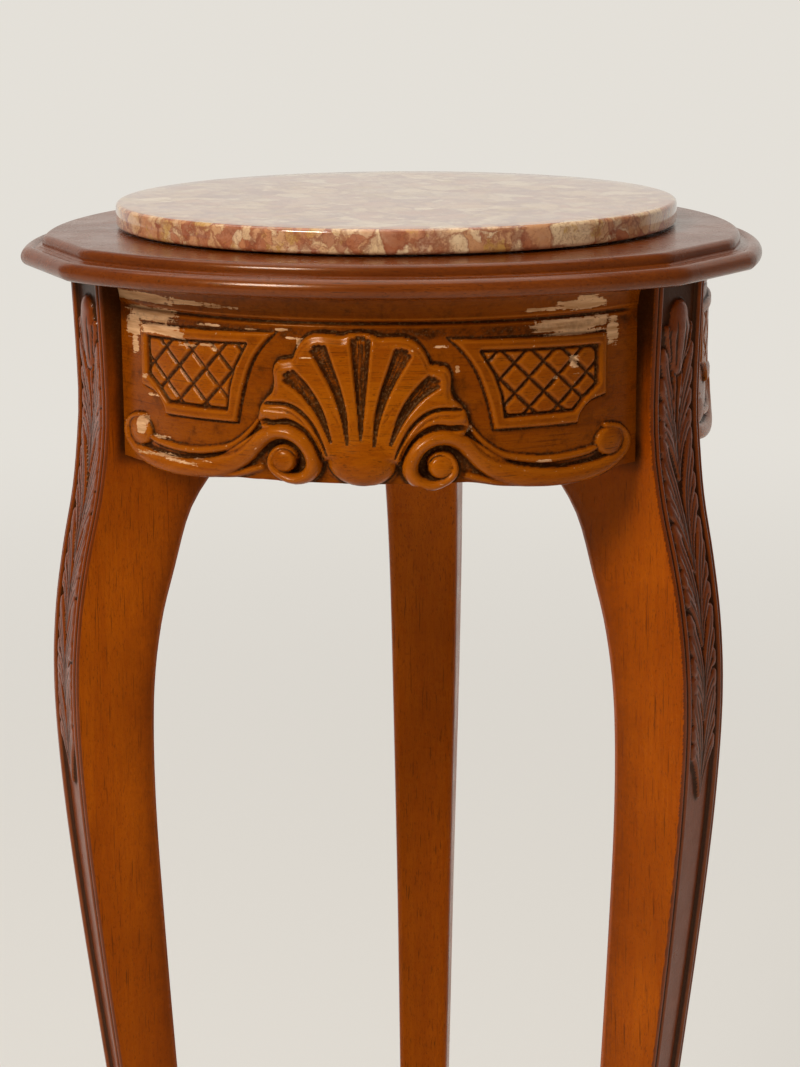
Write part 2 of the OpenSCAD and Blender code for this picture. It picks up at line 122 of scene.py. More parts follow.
class Relief:
    """Carved heights over a grid of places: x across the face, y up it, z out of it."""

    def __init__(self, x, y, z):
        self.x, self.y, self.z = x, y, z.copy()
        # cut_in darkens the cuts with glaze and painted shade; bright keeps places out of the low
        # ground's glaze and painted shade
        self.cut_in = np.zeros_like(z)
        self.bright = np.zeros_like(z)

    def near(self, path, reach):
        low, high = path.min(0) - reach, path.max(0) + reach
        return np.nonzero((self.x > low[0]) & (self.x < high[0])
                          & (self.y > low[1]) & (self.y < high[1]))

    def along(self, path, at):
        """Distance to the path and how far along it, 0 to 1, for the places in at."""
        x, y = self.x[at], self.y[at]
        lengths = np.hypot(*np.diff(path, axis=0).T)
        starts = np.concatenate([[0], np.cumsum(lengths)])
        best = np.full(x.shape, 1e9)
        share = np.zeros(x.shape)
        for (px, py), (qx, qy), length, start in zip(path[:-1], path[1:], lengths, starts):
            if length < 1e-9:
                continue
            t = np.clip(((x - px) * (qx - px) + (y - py) * (qy - py)) / length ** 2, 0, 1)
            d = np.hypot(x - px - t * (qx - px), y - py - t * (qy - py))
            nearer = d < best
            best = np.where(nearer, d, best)
            share = np.where(nearer, (start + t * length) / starts[-1], share)
        return best, share

    def profile(self, path, at, count, values):
        """Each place's distance to the path, and each line of values there."""
        lengths = np.concatenate([[0], np.cumsum(np.hypot(*np.diff(path, axis=0).T))])
        spots = lengths[::(len(path) - 1) // (count - 1)] / lengths[-1]
        d, share = self.along(path, at)
        lines = [np.interp(share, spots if len(v) == count else np.linspace(0, 1, len(v)), v)
                 for v in values]
        return d, lines

    def roll(self, points, widths, tops, foot, power, hides=False):
        """A rounded roll along points. One that hides covers what lies under it."""
        path = smooth_curve(points)
        at = self.near(path, max(widths) + 1)
        d, (width, top) = self.profile(path, at, len(points), (widths, tops))
        q = d / np.maximum(width, 0.05)
        height = foot + (top - foot) * np.clip(1 - q ** 2, 0, 1) ** power
        covered = height if hides else np.maximum(self.z[at], height)
        self.z[at] = np.where(q < 1, covered, self.z[at])

    def cut(self, points, widths, depths, power=1.0, glaze=1.0, floor=-9.0):
        """A groove along points, V-shaped at power 1 and fuller below it, darkened with glaze and
        painted shade as strong as glaze says.
        """
        path = smooth_curve(points)
        at = self.near(path, max(widths) + 1)
        d, (width, depth) = self.profile(path, at, len(points), (widths, depths))
        q = d / np.maximum(width, 0.05)
        shape = np.clip(1 - q, 0, 1) ** power
        self.z[at] = np.where(q < 1, np.maximum(self.z[at] - depth * shape,
                                                np.minimum(self.z[at], floor)), self.z[at])
        dark = glaze * np.clip(1.4 * shape, 0, 1) * (q < 1)
        self.cut_in[at] = np.maximum(self.cut_in[at], dark)

    def inside(self, outline, at):
        """Distance in from a closed outline, below 0 where a place lies outside it."""
        x, y = self.x[at], self.y[at]
        ring = np.vstack([outline, outline[:1]])
        edge, _ = self.along(ring, at)
        within = np.zeros(x.shape, bool)
        for (px, py), (qx, qy) in zip(ring[:-1], ring[1:]):
            if abs(qy - py) > 1e-9:
                crosses = ((py > y) != (qy > y)) & (x < px + (y - py) / (qy - py) * (qx - px))
                within ^= crosses
        return np.where(within, edge, -edge)

    def plate(self, outline, top, foot, edge):
        """A raised flat shape with an eased edge."""
        at = self.near(outline, 1)
        d = self.inside(outline, at)
        height = foot + (top - foot) * np.sin(np.clip(d / edge, 0, 1) * math.pi / 2)
        self.z[at] = np.where(d > 0, np.maximum(self.z[at], height), self.z[at])

    def hollows(self, cell):
        """How deep each place lies among its neighbours, from 0 to 1, and how proud. The wood
        darkens the deep places with glaze and painted shade and lightens the proud ones with
        rubbing and a painted highlight.
        """
        wide = blurred(self.z, 5.0 / cell) - self.z
        broad = blurred(self.z, 2.0 / cell) - self.z
        fine = blurred(self.z, 0.8 / cell) - self.z
        deep = (np.clip(broad / 1.3, 0, 1) * 0.55 + np.clip(fine / 0.35, 0, 1) * 0.5
                + np.clip(wide / 3.0, 0, 1) * 0.25 - np.clip(-fine / 0.15, 0, 1) * 0.3)
        proud = np.clip(-fine / 0.22, 0, 1) * 0.7 + np.clip(-broad / 0.9, 0, 1) * 0.5
        ridge = np.clip(-fine / 0.12, 0, 1) * 0.45
        return np.clip(np.maximum(deep, 0.95 * self.cut_in - ridge), 0, 1), np.clip(proud, 0, 1)


def blend(a, b, reach):
    """The higher of two surfaces, with a fillet between them."""
    h = np.clip(reach - np.abs(a - b), 0, reach) / reach
    return np.maximum(a, b) + h * h * reach / 4


# Meshes

def new_piece(name, bm, material, sharp=math.radians(60)):
    for face in bm.faces:
        face.smooth = True
    for edge in bm.edges:
        edge.smooth = len(edge.link_faces) != 2 or edge.calc_face_angle(0) < sharp
    mesh = bpy.data.meshes.new(name)
    bm.to_mesh(mesh)
    bm.free()
    mesh.materials.append(material)
    piece = bpy.data.objects.new(name, mesh)
    bpy.context.scene.collection.objects.link(piece)
    return piece


def sheet_bmesh(place, marks):
    """A grid whose corners go where place says. place and marks are row by column arrays."""
    rows, columns = place.shape[0] - 1, place.shape[1] - 1
    bm = bmesh.new()
    bmesh.ops.create_grid(bm, x_segments=columns, y_segments=rows, size=0.5)
    layers = {}
    for name, values in marks.items():
        kind = bm.verts.layers.float_vector if values.ndim == 3 else bm.verts.layers.float
        layers[name] = kind.new(name)
    for vert in bm.verts:
        i = round((vert.co.x + 0.5) * columns)
        j = round((vert.co.y + 0.5) * rows)
        vert.co = place[j, i]
        for name, values in marks.items():
            value = values[j, i]
            vert[layers[name]] = Vector(value) if values.ndim == 3 else float(value)
    return bm


def close_shell(bm, join=1e-5):
    """Joins the seam, fills open ends and turns every face outward."""
    bmesh.ops.remove_doubles(bm, verts=bm.verts, dist=join)
    open_edges = [e for e in bm.edges if e.is_boundary]
    if open_edges:
        bmesh.ops.holes_fill(bm, edges=open_edges, sides=0)
    bmesh.ops.recalc_face_normals(bm, faces=bm.faces)


# Shader groups and materials

def group(name, inputs, outputs):
    tree = bpy.data.node_groups.new(name, "ShaderNodeTree")
    for way, sockets in (("INPUT", inputs), ("OUTPUT", outputs)):
        for label, kind in sockets:
            tree.interface.new_socket(name=label, in_out=way, socket_type=kind)
    return tree, tree.nodes.new("NodeGroupInput"), tree.nodes.new("NodeGroupOutput")


class Nodes:
    """Short calls for one node tree."""

    def __init__(self, tree):
        self.tree = tree

    def add(self, kind, **values):
        node = self.tree.nodes.new(kind)
        for key, value in values.items():
            setattr(node, key, value)
        return node

    def link(self, source, target):
        self.tree.links.new(source, target)

    def set(self, socket, value):
        if isinstance(value, bpy.types.NodeSocket):
            self.link(value, socket)
        else:
            socket.default_value = value

    def feed(self, node, values):
        """Links each socket named in values, or gives it its constant value."""
        for name, value in values.items():
            self.set(node.inputs[name], value)

    def objects(self):
        return self.add("ShaderNodeTexCoord").outputs["Object"]

    def mark(self, name):
        return self.add("ShaderNodeAttribute", attribute_name=name).outputs

    def math(self, operation, a, b=0.0, clamp=False):
        node = self.add("ShaderNodeMath", operation=operation, use_clamp=clamp)
        self.feed(node, {0: a, 1: b})
        return node.outputs[0]

    def plus(self, a, b):
        return self.math("ADD", a, b)

    def minus(self, a, b):
        return self.math("SUBTRACT", a, b)

    def times(self, a, b):
        return self.math("MULTIPLY", a, b)

    def most(self, a, b):
        return self.math("MAXIMUM", a, b)

    def span(self, value, low, high, to_low=0.0, to_high=1.0):
        """Eased from to_low, where value is low, to to_high, where it is high."""
        node = self.add("ShaderNodeMapRange", interpolation_type="SMOOTHSTEP")
        self.feed(node, dict(enumerate((value, low, high, to_low, to_high))))
        return node.outputs[0]

    def mix(self, share, a, b):
        node = self.add("ShaderNodeMix", data_type="RGBA")
        self.feed(node, {0: share, 6: a, 7: b})
        return node.outputs[2]

    def noise(self, place, scale, detail=4.0, rough=0.55, warp=0.0, output="Fac"):
        node = self.add("ShaderNodeTexNoise")
        self.feed(node, {"Vector": place, "Scale": scale, "Detail": detail, "Roughness": rough,
                         "Distortion": warp})
        return node.outputs[output]

    def streaks(self, place, scale, detail=4.0, rough=0.55, warp=0.0):
        """Noise with its own scale along each axis of place."""
        node = self.add("ShaderNodeMapping")
        self.feed(node, {"Vector": place, "Scale": scale})
        return self.noise(node.outputs[0], 1.0, detail, rough, warp)

    def ramp(self, value, stops):
        node = self.add("ShaderNodeValToRGB")
        self.link(value, node.inputs[0])
        elements = node.color_ramp.elements
        while len(elements) < len(stops):
            elements.new(0.5)
        for element, (spot, colour) in zip(elements, stops):
            element.position = spot
            element.color = colour
        return node.outputs[0]

    def bump(self, height, strength, distance):
        node = self.add("ShaderNodeBump")
        self.feed(node, {"Strength": strength, "Distance": distance, "Height": height})
        return node.outputs[0]


def new_material(name):
    """A material, its nodes and its own shader."""
    material = bpy.data.materials.new(name)
    material.use_nodes = True
    return material, Nodes(material.node_tree), material.node_tree.nodes["Principled BSDF"]


# Wood: how close each kind of mark is, twice across the grain and once along it
BANDS = (60, 60, 3.5)
LINES = (900, 900, 70)
PORES = (1500, 1500, 45)
FLECKS = (2600, 2600, 520)
RUBBED = (1400, 1400, 110)
BARE = (500, 500, 60)

DUST = (0.17, 0.080, 0.030, 1)
BARE_DARK = (0.42, 0.20, 0.080, 1)
BARE_LIGHT = (0.72, 0.42, 0.22, 1)
VARNISH_TINT = (1.0, 0.45, 0.08, 1)


def grain_group():
    """Long fine grain along the third axis of Place: Tone, Pores and Cloud."""
    tree, given, out = group(
        "wood grain", [("Place", "NodeSocketVector")],
        [("Tone", "NodeSocketFloat"), ("Pores", "NodeSocketFloat"),
         ("Cloud", "NodeSocketFloat")])
    n = Nodes(tree)
    place = given.outputs["Place"]
    broad = n.streaks(place, BANDS, 3, 0.6, 0.6)
    fine = n.streaks(place, LINES, 4, 0.7)
    pores = n.span(n.streaks(place, PORES, 2, 0.5), 0.60, 0.72)
    flecks = n.span(n.streaks(place, FLECKS, 2, 0.5), 0.56, 0.72)
    n.feed(out, {"Tone": n.span(n.plus(n.times(broad, 0.5), n.times(fine, 0.5)), 0.36, 0.64),
                 "Pores": n.most(pores, n.times(flecks, 0.8)),
                 "Cloud": n.span(n.noise(place, 14, 3, 0.5), 0.3, 0.7)})
    return tree


# What a carved mesh says of each place, and the sockets that take it
MARKS = ("Hollow", "Raised", "Proud", "Worn")


def carving_group():
    """Glaze, dust and painted shade in the hollows, high places lighter from rubbing and a
    painted highlight, and rubbed bare wood.
    Grime says how dirty the carving is and how uneven the glaze and painted shade in its hollows
    are."""
    tree, given, out = group(
        "carving marks",
        [("Place", "NodeSocketVector"), ("Grain place", "NodeSocketVector")]
        + [(mark, "NodeSocketFloat") for mark in MARKS] + [("Grime", "NodeSocketFloat")]
        + [(colour, "NodeSocketColor") for colour in ("Stain", "Light", "Deep", "Glaze")],
        [("Stain", "NodeSocketColor"), ("Glaze and shade", "NodeSocketFloat"),
         ("Bare", "NodeSocketFloat")])
    n = Nodes(tree)
    place, along = given.outputs["Place"], given.outputs["Grain place"]
    hollow, raised, proud, worn = (given.outputs[mark] for mark in MARKS)
    grime, stain, light, deep, glaze = (
        given.outputs[name] for name in ("Grime", "Stain", "Light", "Deep", "Glaze"))

    # Low ground darker than the raised carving: glaze and painted shade
    low = n.minus(1.0, raised)
    stain = n.mix(n.times(low, 0.55), stain, deep)
    dirt = n.times(n.span(n.noise(place, 170, 5, 0.7), 0.48, 0.72), low)
    stain = n.mix(n.times(dirt, n.times(grime, 0.5)), stain, glaze)

    # The hollows take glaze and painted shade, made uneven by smudges
    smudge = n.minus(n.noise(place, 500, 5, 0.7), 0.5)
    uneven = n.minus(n.noise(place, 110, 3, 0.6), 0.5)
    smudge = n.plus(smudge, n.times(uneven, 0.9))
    depth_and_shade = n.plus(hollow, n.times(smudge, grime))
    stain = n.mix(n.times(n.span(depth_and_shade, 0.10, 0.55), 0.65), stain, deep)
    glaze_and_shade = n.span(depth_and_shade, 0.25, 0.85)
    stain = n.mix(n.times(glaze_and_shade, 0.95), stain, glaze)
    dust = n.times(n.span(n.noise(place, 900, 4, 0.7), 0.50, 0.66), glaze_and_shade)
    stain = n.mix(n.times(dust, n.times(grime, 0.5)), stain, DUST)
    # Proud places lighter: partly rubbed, partly a painted highlight
    stain = n.mix(n.times(n.span(proud, 0.25, 0.9), 0.5), stain, light)

    ragged = n.minus(n.plus(n.streaks(along, RUBBED, 3, 0.6), n.noise(place, 420, 5, 0.7)), 1.0)
    rub = n.plus(worn, n.times(ragged, n.span(worn, 0.0, 0.35, 0.0, 1.6)))
    chips = n.times(n.span(n.noise(place, 700, 3, 0.5), 0.68, 0.71), n.span(proud, 0.5, 0.85))
    bare = n.most(n.span(rub, 0.58, 0.65), n.times(chips, 0.7))
    fresh = n.mix(n.span(n.streaks(along, BARE, 3), 0.3, 0.7), BARE_DARK, BARE_LIGHT)
    stain = n.mix(bare, stain, fresh)
    stain = n.mix(n.times(n.times(glaze_and_shade, 0.4), bare), stain, glaze)
    n.feed(out, {"Stain": stain, "Glaze and shade": glaze_and_shade, "Bare": bare})
    return tree


GRAIN = grain_group()
CARVING = carving_group()


def varnished_wood(name, light, mid, deep, glaze, rough=0.27, coat=0.04, grime=None):
    """Stained wood under varnish. A carved piece has a grime, and marks on its mesh for glaze,
    dust, wear and painted shade and highlight.
    """
    material, n, shader = new_material(name)
    objects = n.objects()
    along = n.mark("grain_at")["Vector"]
    grain = n.add("ShaderNodeGroup", node_tree=GRAIN)
    n.link(along, grain.inputs["Place"])
    tone, pores, cloud = (grain.outputs[k] for k in ("Tone", "Pores", "Cloud"))
    stain = n.mix(tone, mid, light)
    stain = n.mix(n.times(cloud, 0.5), stain, deep)
    stain = n.mix(n.times(pores, 0.6), stain, glaze)
    roughness = n.span(n.noise(objects, 55, 4), 0.2, 0.8, rough - 0.05, rough + 0.09)
    height = n.minus(n.times(tone, 0.12), n.times(pores, 0.3))
    gloss = n.span(cloud, 0.0, 1.0, coat * 1.1, coat * 0.8)
    if grime is not None:
        carving = n.add("ShaderNodeGroup", node_tree=CARVING)
        n.feed(carving, {"Place": objects, "Grain place": along, "Grime": grime, "Stain": stain,
                         "Light": light, "Deep": deep, "Glaze": glaze})
        n.feed(carving, {mark: n.mark(mark.lower())["Fac"] for mark in MARKS})
        stain, glaze_and_shade, bare = carving.outputs
        dull = n.most(bare, n.times(glaze_and_shade, 0.6))
        roughness = n.math("ADD", roughness, n.times(dull, 0.35), clamp=True)
        gloss = n.plus(gloss, n.times(n.mark("sheen")["Fac"], 0.5))
        gloss = n.times(gloss, n.minus(1.0, dull))
        height = n.minus(height, n.times(bare, 1.1))
        height = n.plus(height, n.times(n.noise(objects, 260, 5, 0.65), 0.9))
    n.feed(shader, {"Base Color": stain, "Roughness": roughness, "Coat Weight": gloss,
                    "Coat Roughness": 0.17, "Specular IOR Level": 0.22,
                    "Specular Tint": VARNISH_TINT, "Normal": n.bump(height, 0.35, 0.0004)})
    return material


RAIL_STAIN = dict(light=(0.360, 0.088, 0.0012, 1), mid=(0.255, 0.051, 0.0007, 1),
                  deep=(0.145, 0.0250, 0.0006, 1), glaze=(0.022, 0.0050, 0.0010, 1))
LEG_STAIN = dict(light=(0.40, 0.081, 0.0006, 1), mid=(0.315, 0.055, 0.0003, 1),
                 deep=(0.175, 0.026, 0.0003, 1), glaze=(0.022, 0.0050, 0.0010, 1))
BOARD_STAIN = dict(light=(0.185, 0.038, 0.0025, 1), mid=(0.135, 0.025, 0.0018, 1),
                   deep=(0.080, 0.013, 0.0010, 1), glaze=(0.018, 0.004, 0.0010, 1))
rail_wood = varnished_wood("carved rail wood", grime=1.1, **RAIL_STAIN)
leg_wood = varnished_wood("leg wood", grime=0.2, **LEG_STAIN)
board_wood = varnished_wood("top board wood", rough=0.24, coat=0.42, **BOARD_STAIN)


# Breccia: the stones' tones from dark to pale, then what lies over and between them, and how
# many stones of each size there are to a metre
MARBLE_TONES = [(0.0, (0.27, 0.070, 0.028, 1)), (0.20, (0.42, 0.128, 0.050, 1)),
                (0.38, (0.53, 0.215, 0.090, 1)), (0.54, (0.62, 0.34, 0.15, 1)),
                (0.74, (0.68, 0.44, 0.22, 1)), (1.0, (0.80, 0.58, 0.34, 1))]
MARBLE_OCHRE = (0.52, 0.28, 0.055, 1)
MARBLE_CLOUD = (0.72, 0.50, 0.33, 1)
MARBLE_FLECK = (0.34, 0.12, 0.055, 1)
MARBLE_PASTE = (0.27, 0.075, 0.032, 1)
MARBLE_VEIN = (0.20, 0.050, 0.028, 1)
BIG_STONES = 62
SMALL_STONES = 210


def stones(n, place, scale, gap):
    """Stones of one size, each with a tone of its own, and the paste round them."""
    cells = n.add("ShaderNodeTexVoronoi")
    n.feed(cells, {"Vector": place, "Scale": scale})
    rims = n.add("ShaderNodeTexVoronoi", feature="DISTANCE_TO_EDGE")
    n.feed(rims, {"Vector": place, "Scale": scale})
    split = n.add("ShaderNodeSeparateColor")
    n.link(cells.outputs["Color"], split.inputs[0])
    paste = n.minus(1.0, n.span(rims.outputs["Distance"], gap * 0.2, gap))
    return n.ramp(split.outputs[0], MARBLE_TONES), paste


def stirred(n, place):
    """The place, pushed about so that no stone has straight sides."""
    shift = n.add("ShaderNodeVectorMath", operation="SCALE")
    n.feed(shift, {0: n.noise(place, 45, 6, 0.65, output="Color"), "Scale": 0.020})
    moved = n.add("ShaderNodeVectorMath", operation="ADD")
    n.feed(moved, {0: place, 1: shift.outputs[0]})
    return moved.outputs[0]


def marble_colour(n, objects):
    """Cream and ochre stones in a red-brown paste, clouded, speckled and veined."""
    place = stirred(n, objects)
    big, big_paste = stones(n, place, BIG_STONES, 0.06)
    small, small_paste = stones(n, place, SMALL_STONES, 0.12)
    broken = n.span(n.noise(objects, 32, 3, 0.6), 0.44, 0.56, 0.10, 0.80)
    colour = n.mix(broken, big, small)
    ochre = n.span(n.noise(objects, 70, 4, 0.65), 0.55, 0.64, 0.0, 0.8)
    colour = n.mix(ochre, colour, MARBLE_OCHRE)
    cloudy = n.span(n.noise(objects, 110, 5, 0.65), 0.40, 0.75, 0.0, 0.25)
    colour = n.mix(cloudy, colour, MARBLE_CLOUD)
    flecks = n.span(n.noise(objects, 700, 5, 0.75), 0.50, 0.68, 0.0, 0.5)
    colour = n.mix(flecks, colour, MARBLE_FLECK)
    colour = n.mix(n.times(big_paste, 0.65), colour, MARBLE_PASTE)
    colour = n.mix(n.times(n.times(small_paste, broken), 0.6), colour, MARBLE_PASTE)
    off_vein = n.math("ABSOLUTE", n.minus(n.noise(place, 60, 6, 0.7, 1.2), 0.5))
    vein = n.minus(1.0, n.span(off_vein, 0.0, 0.018))
    return n.mix(n.times(vein, 0.55), colour, MARBLE_VEIN)


def marble_material():
    """Breccia under a high polish, with small pits."""
    material, n, shader = new_material("breccia marble")
    objects = n.objects()
    pits = n.span(n.noise(objects, 1300, 2, 0.5), 0.66, 0.72)
    rough = n.plus(n.span(n.noise(objects, 30, 3), 0.3, 0.7, 0.10, 0.18), n.times(pits, 0.2))
    n.feed(shader, {"Base Color": marble_colour(n, objects), "Roughness": rough,
                    "Normal": n.bump(n.minus(1.0, pits), 0.12, 0.0002),
                    "Coat Weight": 0.85, "Coat Roughness": 0.06, "Specular IOR Level": 0.2})
    return material


def plain_wood_material():
    material, n, shader = new_material("plain glued wood")
    grain = n.add("ShaderNodeGroup", node_tree=GRAIN)
    n.link(n.objects(), grain.inputs["Place"])
    tone, pores, cloud = (grain.outputs[k] for k in ("Tone", "Pores", "Cloud"))
    colour = n.mix(tone, (0.38, 0.22, 0.10, 1), (0.58, 0.39, 0.20, 1))
    colour = n.mix(n.times(pores, 0.3), colour, (0.20, 0.10, 0.04, 1))
    n.feed(shader, {"Base Color": colour, "Roughness": n.span(cloud, 0.0, 1.0, 0.55, 0.75),
                    "Normal": n.bump(tone, 0.3, 0.0003)})
    return material


def felt_material():
    material, n, shader = new_material("felt")
    fluff = n.noise(n.objects(), 2500, 4, 0.7)
    colour = n.mix(fluff, (0.016, 0.012, 0.010, 1), (0.060, 0.048, 0.040, 1))
    n.feed(shader, {"Base Color": colour, "Roughness": 0.95, "Sheen Weight": 0.3,
                    "Normal": n.bump(fluff, 0.6, 0.0004)})
    return material


def steel_material():
    material, n, shader = new_material("zinc plated steel")
    objects = n.objects()
    spots = n.noise(objects, 420, 4, 0.6)
    colour = n.mix(spots, (0.42, 0.40, 0.34, 1), (0.66, 0.64, 0.58, 1))
    n.feed(shader, {"Base Color": colour, "Metallic": 1.0,
                    "Roughness": n.span(spots, 0.2, 0.8, 0.28, 0.5),
                    "Normal": n.bump(n.noise(objects, 2000, 2), 0.15, 0.0001)})
    return material


# The carved rail

# Radius of the rail's outer and inner face, and how far its cove comes out
RAIL_R, RAIL_IN_R, COVE_OUT = 139, 117, 6
# How far up the rail the cove, the cut line and the middle of the shell's fan lie
COVE_UP, LINE_UP, HUB_UP = 67.3, 65.3, 9.5
# The middle of the carving, then the volute on its right and the eye in it
MIDDLE = -0.6
VOLUTE, VOLUTE_R = (29.0, 11.4), 12.9
EYE, EYE_R = (31.2, 8.2), 5.0
# Rows of a rail's grid: hanging edge, carved face, top, inner face and underside
FOOT_ROWS, FACE_ROWS, TOP_ROWS, BACK_ROWS, UNDER_ROWS = 60, 104, 2, 3, 3
# The rows of the hanging edge follow it more and more loosely, and are level from here up
FOOT_UP = 25
# The middle of the rail, as a share of its half, has closer columns than its ends
BUSY = 0.41
BUSY_COLUMNS, CALM_COLUMNS = 240, 148


def lean(x):
    """The carving hangs a little lower on its right side."""
    return 0.95 * np.tanh(x / 28)


def rail_ground(y):
    """Section of the rail before carving: flat, a quirk, then the cove under the board."""
    quirk = 0.5
    cove = np.minimum(np.clip((y - COVE_UP) / (RAIL_H - COVE_UP), 0, 1), 0.995)
    return quirk * (y > COVE_UP - 0.7) + (COVE_OUT - quirk) * (1 - np.sqrt(1 - cove ** 2))


def rail_foot(x):
    """Lower edge of the carved rail: the scrolls, the volutes and the boss hang below it."""
    drop = lean(x)
    x = np.abs(x - MIDDLE)
    scroll = np.interp(x, [42, 49, 56, 64, 73, 83, 93, 99, 104, 108],
                       [0, -0.6, -1.4, -2.2, -2.9, -3.2, -2.5, -0.8, 0, 0])
    reach = VOLUTE_R ** 2 - (x - VOLUTE[0]) ** 2
    volute = np.where(reach > 0, VOLUTE[1] - np.sqrt(np.maximum(reach, 0)), 9)
    boss = np.where(x < 13.2, 10.5 - np.sqrt(np.maximum(13.2 ** 2 - x ** 2, 0)) * 0.82, 9)
    foot = np.minimum(np.minimum(scroll, volute), boss)
    return np.minimum(foot - drop * ease(0.0, -1.2, foot), 0)


SHELL_RIM = [(0, 52.6), (5, 52.3), (8.5, 51.6), (12, 52.4), (17, 53.8), (22, 54.5),
             (27, 53.2), (31, 51.0), (34, 49.2), (37.5, 50.4), (41, 51.8), (44.5, 50.6),
             (47.5, 48.0), (50, 46.2), (54, 45.0), (58, 45.6), (62, 46.2), (66, 45.8),
             (71, 44.6), (77, 39), (84, 26), (98, 14)]
FLUTES = [
    # centre line from head to tail, half-width of the whole flute, depth
    ([(0.0, 60.0), (0, 47), (0, 33), (0, 19)], [4.3, 3.0, 1.7, 0.6], [2.3, 2.6, 1.8, 0.3]),
    ([(17.0, 55.6), (13.4, 47.6), (9.1, 37.3), (6.4, 27), (5.3, 17)],
     [3.7, 2.8, 1.9, 1.2, 0.5], [2.0, 2.4, 2.0, 1.3, 0.3]),
    ([(29.2, 43.8), (22.2, 37.5), (16.2, 28.9), (11.6, 17.5)],
     [3.5, 2.7, 1.8, 0.6], [1.9, 2.3, 1.7, 0.3]),
]


def carve_flute(relief, points, widths, depths):
    """Four gouge strokes side by side leave thin ridges inside the flute."""
    line = np.array(points, float)
    along = np.gradient(line, axis=0)
    along /= np.hypot(along[:, 0], along[:, 1])[:, None]
    across = np.column_stack([along[:, 1], -along[:, 0]])
    widths = np.array(widths)
    for side, start in ((-0.69, 1.3), (0.69, 1.3), (-0.23, 0.0), (0.23, 0.3)):
        stroke = line + across * (side * widths)[:, None]
        stroke[0] += along[0] * start
        relief.cut(stroke, 0.30 * widths + 0.2, depths, power=0.6, glaze=0.88)


def carve_shell(relief):
    x, y = relief.x, relief.y
    r = np.hypot(x, y - HUB_UP)
    bearing = np.degrees(np.arctan2(np.abs(x), y - HUB_UP))
    angles, radii = smooth_curve(SHELL_RIM, 4).T
    inward = np.interp(bearing, angles, radii) - r
    rim_round, rim_rise, swell, heart = 1.3, 3.5, 1.1, 1.4
    step = np.sqrt(np.clip(1 - (1 - np.clip(inward / rim_round, 0, 1)) ** 2, 0, 1))
    height = rim_rise * step + swell * ease(0.8, 4.2, inward)
    height -= 0.15 * np.exp(-((inward - 2.6) / 0.5) ** 2) * ease(50, 44, bearing)
    height += heart * np.exp(-((r - 14) / 12) ** 2)
    height *= ease(HUB_UP - 3, HUB_UP + 3, y)
    width = 1.0 + 1.3 * ease(34, 50, bearing)
    groove = np.clip(1 - np.abs(inward + 0.5 * width) / (0.9 * width), 0, 1)
    groove *= ease(70, 64, bearing)
    relief.z -= 0.45 * groove
    # Glaze and painted shade along the shell's outline groove
    relief.cut_in = np.maximum(relief.cut_in, 0.6 * np.clip(1.4 * groove, 0, 1))
    inside = (inward > 0) & (bearing < 98)
    relief.z[inside] = np.maximum(relief.z, height)[inside]
    for flute in FLUTES:
        carve_flute(relief, *flute)
    for a, r_in, r_out in ((5.4, 14, 30), (14.5, 14, 27), (27.5, 15, 26), (37, 15, 30)):
        s, c = math.sin(math.radians(a)), math.cos(math.radians(a))
        relief.cut([(r_in * s, HUB_UP + r_in * c), ((r_in + r_out) / 2 * s * 1.05,
                    HUB_UP + (r_in + r_out) / 2 * c), (r_out * s * 1.05, HUB_UP + r_out * c)],
                   [0.3, 0.6, 0.3], [0.15, 0.45, 0.15], glaze=0.3)


RIBBON = [
    # centre line from the curled end to the eye, half-width, height
    (96.2, 19.2, 1.0, 1.9), (101.4, 17.4, 1.4, 2.4), (104.2, 12.8, 1.7, 2.6),
    (103.0, 7.6, 2.2, 2.8), (97, 3.2, 3.1, 3.1), (90, 1.1, 3.6, 3.2), (80, 0.3, 3.7, 3.3),
    (70, 0.9, 4.0, 3.4), (60, 3.0, 4.3, 3.7), (52.6, 6.8, 4.6, 4.2), (47.6, 10.6, 4.4, 4.7),
    (43.6, 14.2, 3.8, 5.3), (39.6, 17.6, 3.4, 5.8), (34.2, 20.0, 3.3, 6.5),
    (28.1, 19.6, 3.4, 6.8), (22.8, 16.0, 3.3, 6.8), (19.7, 10.6, 3.4, 6.6),
    (19.6, 5.8, 3.3, 6.4), (22.6, 2.0, 2.8, 6.1), (27.7, 0.6, 2.3, 5.8),
    (32.6, 2.2, 2.2, 5.4), (36.0, 5.2, 2.1, 5.2), (36.4, 9.0, 1.8, 5.0),
    (34.6, 12.1, 1.5, 4.8), (30.9, 13.4, 1.3, 4.6), (27.9, 12.2, 1.0, 4.3),
    (26.6, 9.6, 0.8, 3.8), (26.6, 7.0, 0.5, 3.0)]


